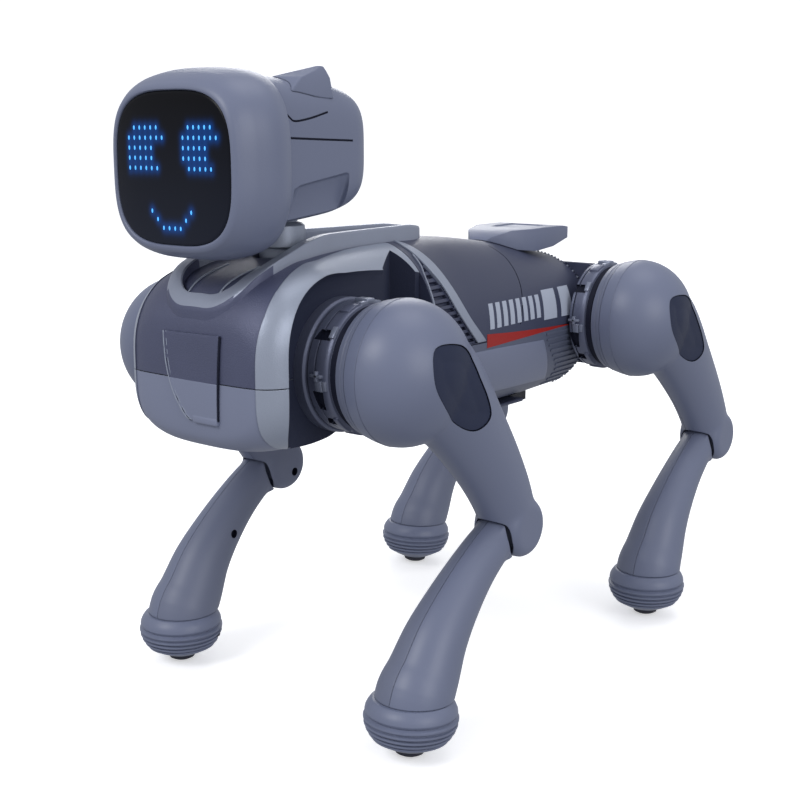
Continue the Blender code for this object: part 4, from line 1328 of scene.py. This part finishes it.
def make_foot_patterns():
    """The boot with its stacked ridges, and the soft sole."""
    centre = (LEG_X, SHIN[-1][0], -HIP.z)
    profile = [
        (0.0242, 0.015),
        (0.0241, 0.0164),
        (0.0232, 0.0174),
        (0.0218, 0.0184),
        (0.0203, 0.0191),
        (0.019, 0.0193),
        (0.0181, 0.0189),
        (0.0176, 0.0183),
    ]
    for z, r in ((0.0162, 0.0198), (0.0139, 0.0195), (0.0117, 0.0187), (0.0096, 0.0175), (0.0077, 0.016)):
        profile += [(z + 0.0009, r - 0.0009), (z + 0.0005, r), (z - 0.0003, r), (z - 0.0009, r - 0.0011)]
    profile += [(0.0062, 0.0138), (0.0048, 0.0112), (0.0036, 0.0086), (0.003, 0.007), (0.003, 0.0064)]
    boot = painted(turned("boot", profile, (0, 0, 1), centre), SHELL)
    # The recess under the boot is lined with painted shade.
    cut(boot, painted(rod("recess", (0, 0, 1), centre, -0.01, 0.0038, 0.0067), DEEP_PAINTED_SHADE))
    cut(boot, screw_hole((0, centre[1] + 0.009, centre[2] + 0.0125), 0.03, LEG_X - 0.015, 0.0018))
    sole = [(0.0001, 0.002), (0.0002, 0.0045), (0.001, 0.006), (0.002, 0.0063), (0.0035, 0.0063)]
    pad = painted(turned("sole", sole, (0, 0, 1), centre), RUBBER)
    return boot, pad


def make_legs():
    thigh_outer, thigh_inner, panel = make_thigh_patterns()
    shin_outer, shin_inner = make_shin_patterns()
    boot, pad = make_foot_patterns()
    front_hub = make_hub_pattern(0.0366)
    rear_hub = make_hub_pattern(0.0388)
    patterns = (
        ("thigh_cover", thigh_outer, "shell", "thigh", "thigh_outer_shell"),
        ("thigh_back", thigh_inner, "shell", "thigh", "thigh_inner_shell"),
        ("bean_panel", panel, "inlay", "thigh", "thigh_inlay"),
        ("shin_cover", shin_outer, "shell", "shin", "shin_outer_shell"),
        ("shin_back", shin_inner, "shell", "shin", "shin_inner_shell"),
        ("ribbed_boot", boot, "shell", "shin", "foot_boot"),
        ("sole", pad, "rubber", "shin", "foot_pad"),
    )
    for leg, turn in REST_TURNS.items():
        hip = JOINTS["hip_" + leg]
        side = 1 if hip.x > 0 else -1
        place = Matrix.Translation((0, hip.y, hip.z))
        hub = copy_of(front_hub if hip.y < 0 else rear_hub, "hub_drum_" + leg, side)
        hub.data.transform(place)
        shown(hub, "torso", ["hip_hub_" + leg])
        for name, pattern, slot, link_name, node in patterns:
            item = copy_of(pattern, f"{name}_{leg}", side)
            item.data.transform(place @ Matrix.Rotation(math.radians(turn), 4, "X"))
            shown(item, f"{link_name}_{leg}", [f"{node}_{leg}"], 30)
    for pattern in (front_hub, rear_hub, *(row[1] for row in patterns)):
        bpy.data.objects.remove(pattern, do_unlink=True)


# ---- Pieces kept from the frame ----
def dress_frame_pieces():
    """Procedural finishes for the hidden and small pieces that keep their frame shape."""
    finishes = {
        "front_gearbox": BLACK, "rear_gearbox": BLACK, "neck_servo": BLACK, "speaker": BLACK,
        "led_board": BOARD, "main_board": BOARD, "battery_pack": CELL, "battery_cover": BODY,
        "charging_port": BLACK, "power_switch": BAND,
    }
    finishes.update({"knee_pin_" + leg: STEEL for leg in REST_TURNS})
    for node, material in finishes.items():
        painted(frame["nodes"][node], material)


# ---- Stage, light and camera ----
def make_camera():
    """The camera, at the photograph's view."""
    camera = bpy.data.objects.new("camera", bpy.data.cameras.new("camera"))
    bpy.context.scene.collection.objects.link(camera)
    camera.data.lens = 57.5
    camera.data.sensor_width = 36.0
    camera.data.clip_start = 0.01
    rise = math.radians(11.8)
    level = math.cos(rise)
    back = Vector((math.sin(CAMERA_TURN) * level, -math.cos(CAMERA_TURN) * level, math.sin(rise)))
    camera.location = Vector((-0.015, -0.009, 0.12)) + back * 0.6383
    camera.rotation_euler = back.to_track_quat("Z", "Y").to_euler()
    bpy.context.scene.camera = camera


def make_light(name, place, size, power):
    """A soft round lamp that faces the middle of the dog."""
    data = bpy.data.lights.new(name, "AREA")
    data.shape = "DISK"
    data.size = size
    data.energy = power
    lamp = bpy.data.objects.new(name, data)
    bpy.context.scene.collection.objects.link(lamp)
    lamp.location = place
    lamp.rotation_euler = (Vector(place) - Vector((0, 0, 0.12))).to_track_quat("Z", "Y").to_euler()


def make_floor():
    """A white sweep: floor, curve and wall behind the dog, seen from the camera."""
    path = [(3.0, 0.0)]
    for i in range(13):
        turn = math.radians(90 * i / 12)
        path.append((-2.2 - math.sin(turn), 1.0 - math.cos(turn)))
    path.append((-3.2, 5.0))
    back = np.array((math.sin(CAMERA_TURN), -math.cos(CAMERA_TURN)))
    side = np.array((math.cos(CAMERA_TURN), math.sin(CAMERA_TURN)))
    points = []
    for along, height in path:
        for width in (-6.0, 6.0):
            x, y = back * along + side * width
            points.append((x, y, height - 0.0002))
    faces = [(2 * i, 2 * i + 1, 2 * i + 3, 2 * i + 2) for i in range(len(path) - 1)]
    sweep = add_mesh("studio_sweep", points, faces)
    paper = bpy.data.materials.new("white_paper")
    paper.use_nodes = True
    shader = paper.node_tree.nodes["Principled BSDF"]
    shader.inputs["Base Color"].default_value = (0.92, 0.92, 0.93, 1)
    shader.inputs["Roughness"].default_value = 0.9
    shader.inputs["Specular IOR Level"].default_value = 0.0
    shader.inputs["Emission Color"].default_value = (1, 1, 1, 1)
    shader.inputs["Emission Strength"].default_value = 0.45
    painted(sweep, paper)
    sweep.data.shade_smooth()
    sweep.visible_diffuse = False
    sweep.visible_glossy = False


def make_lights():
    """An even pale sky, a little dimmer from below, and four soft lamps."""
    world = bpy.data.worlds.new("studio")
    bpy.context.scene.world = world
    world.use_nodes = True
    tree = world.node_tree
    sky = tree.nodes["Background"]
    sky.inputs["Color"].default_value = (0.93, 0.95, 1.0, 1)
    place = tree.nodes.new("ShaderNodeTexCoord")
    apart = tree.nodes.new("ShaderNodeSeparateXYZ")
    link(tree, place.outputs["Generated"], apart.inputs[0])
    rise = add_node(tree, "ShaderNodeMapRange")
    rise.inputs["From Min"].default_value = -0.8
    rise.inputs["From Max"].default_value = 0.15
    rise.inputs["To Min"].default_value = 0.42
    rise.inputs["To Max"].default_value = 0.64
    link(tree, apart.outputs["Z"], rise.inputs["Value"])
    link(tree, rise.outputs["Result"], sky.inputs["Strength"])
    make_light("key", (-0.3, -1.7, 1.5), 1.0, 16)
    make_light("fill", (1.9, -0.4, 0.9), 1.2, 11)
    make_light("top", (0.2, 0.5, 2.2), 1.4, 7)
    make_light("back", (-1.2, 1.4, 1.0), 0.9, 8)


def main():
    make_camera()
    make_chest()
    make_hatch()
    make_rim()
    make_back()
    make_gill_bands()
    make_belly_panel()
    make_marks()
    make_grip()
    make_tail_fin()
    make_rump()
    make_face()
    make_screen()
    make_pod()
    make_ears()
    make_neck_post()
    make_legs()
    dress_frame_pieces()
    make_floor()
    make_lights()
    bpy.context.scene.view_settings.view_transform = "Standard"


main()
bpy.context.view_layer.update()
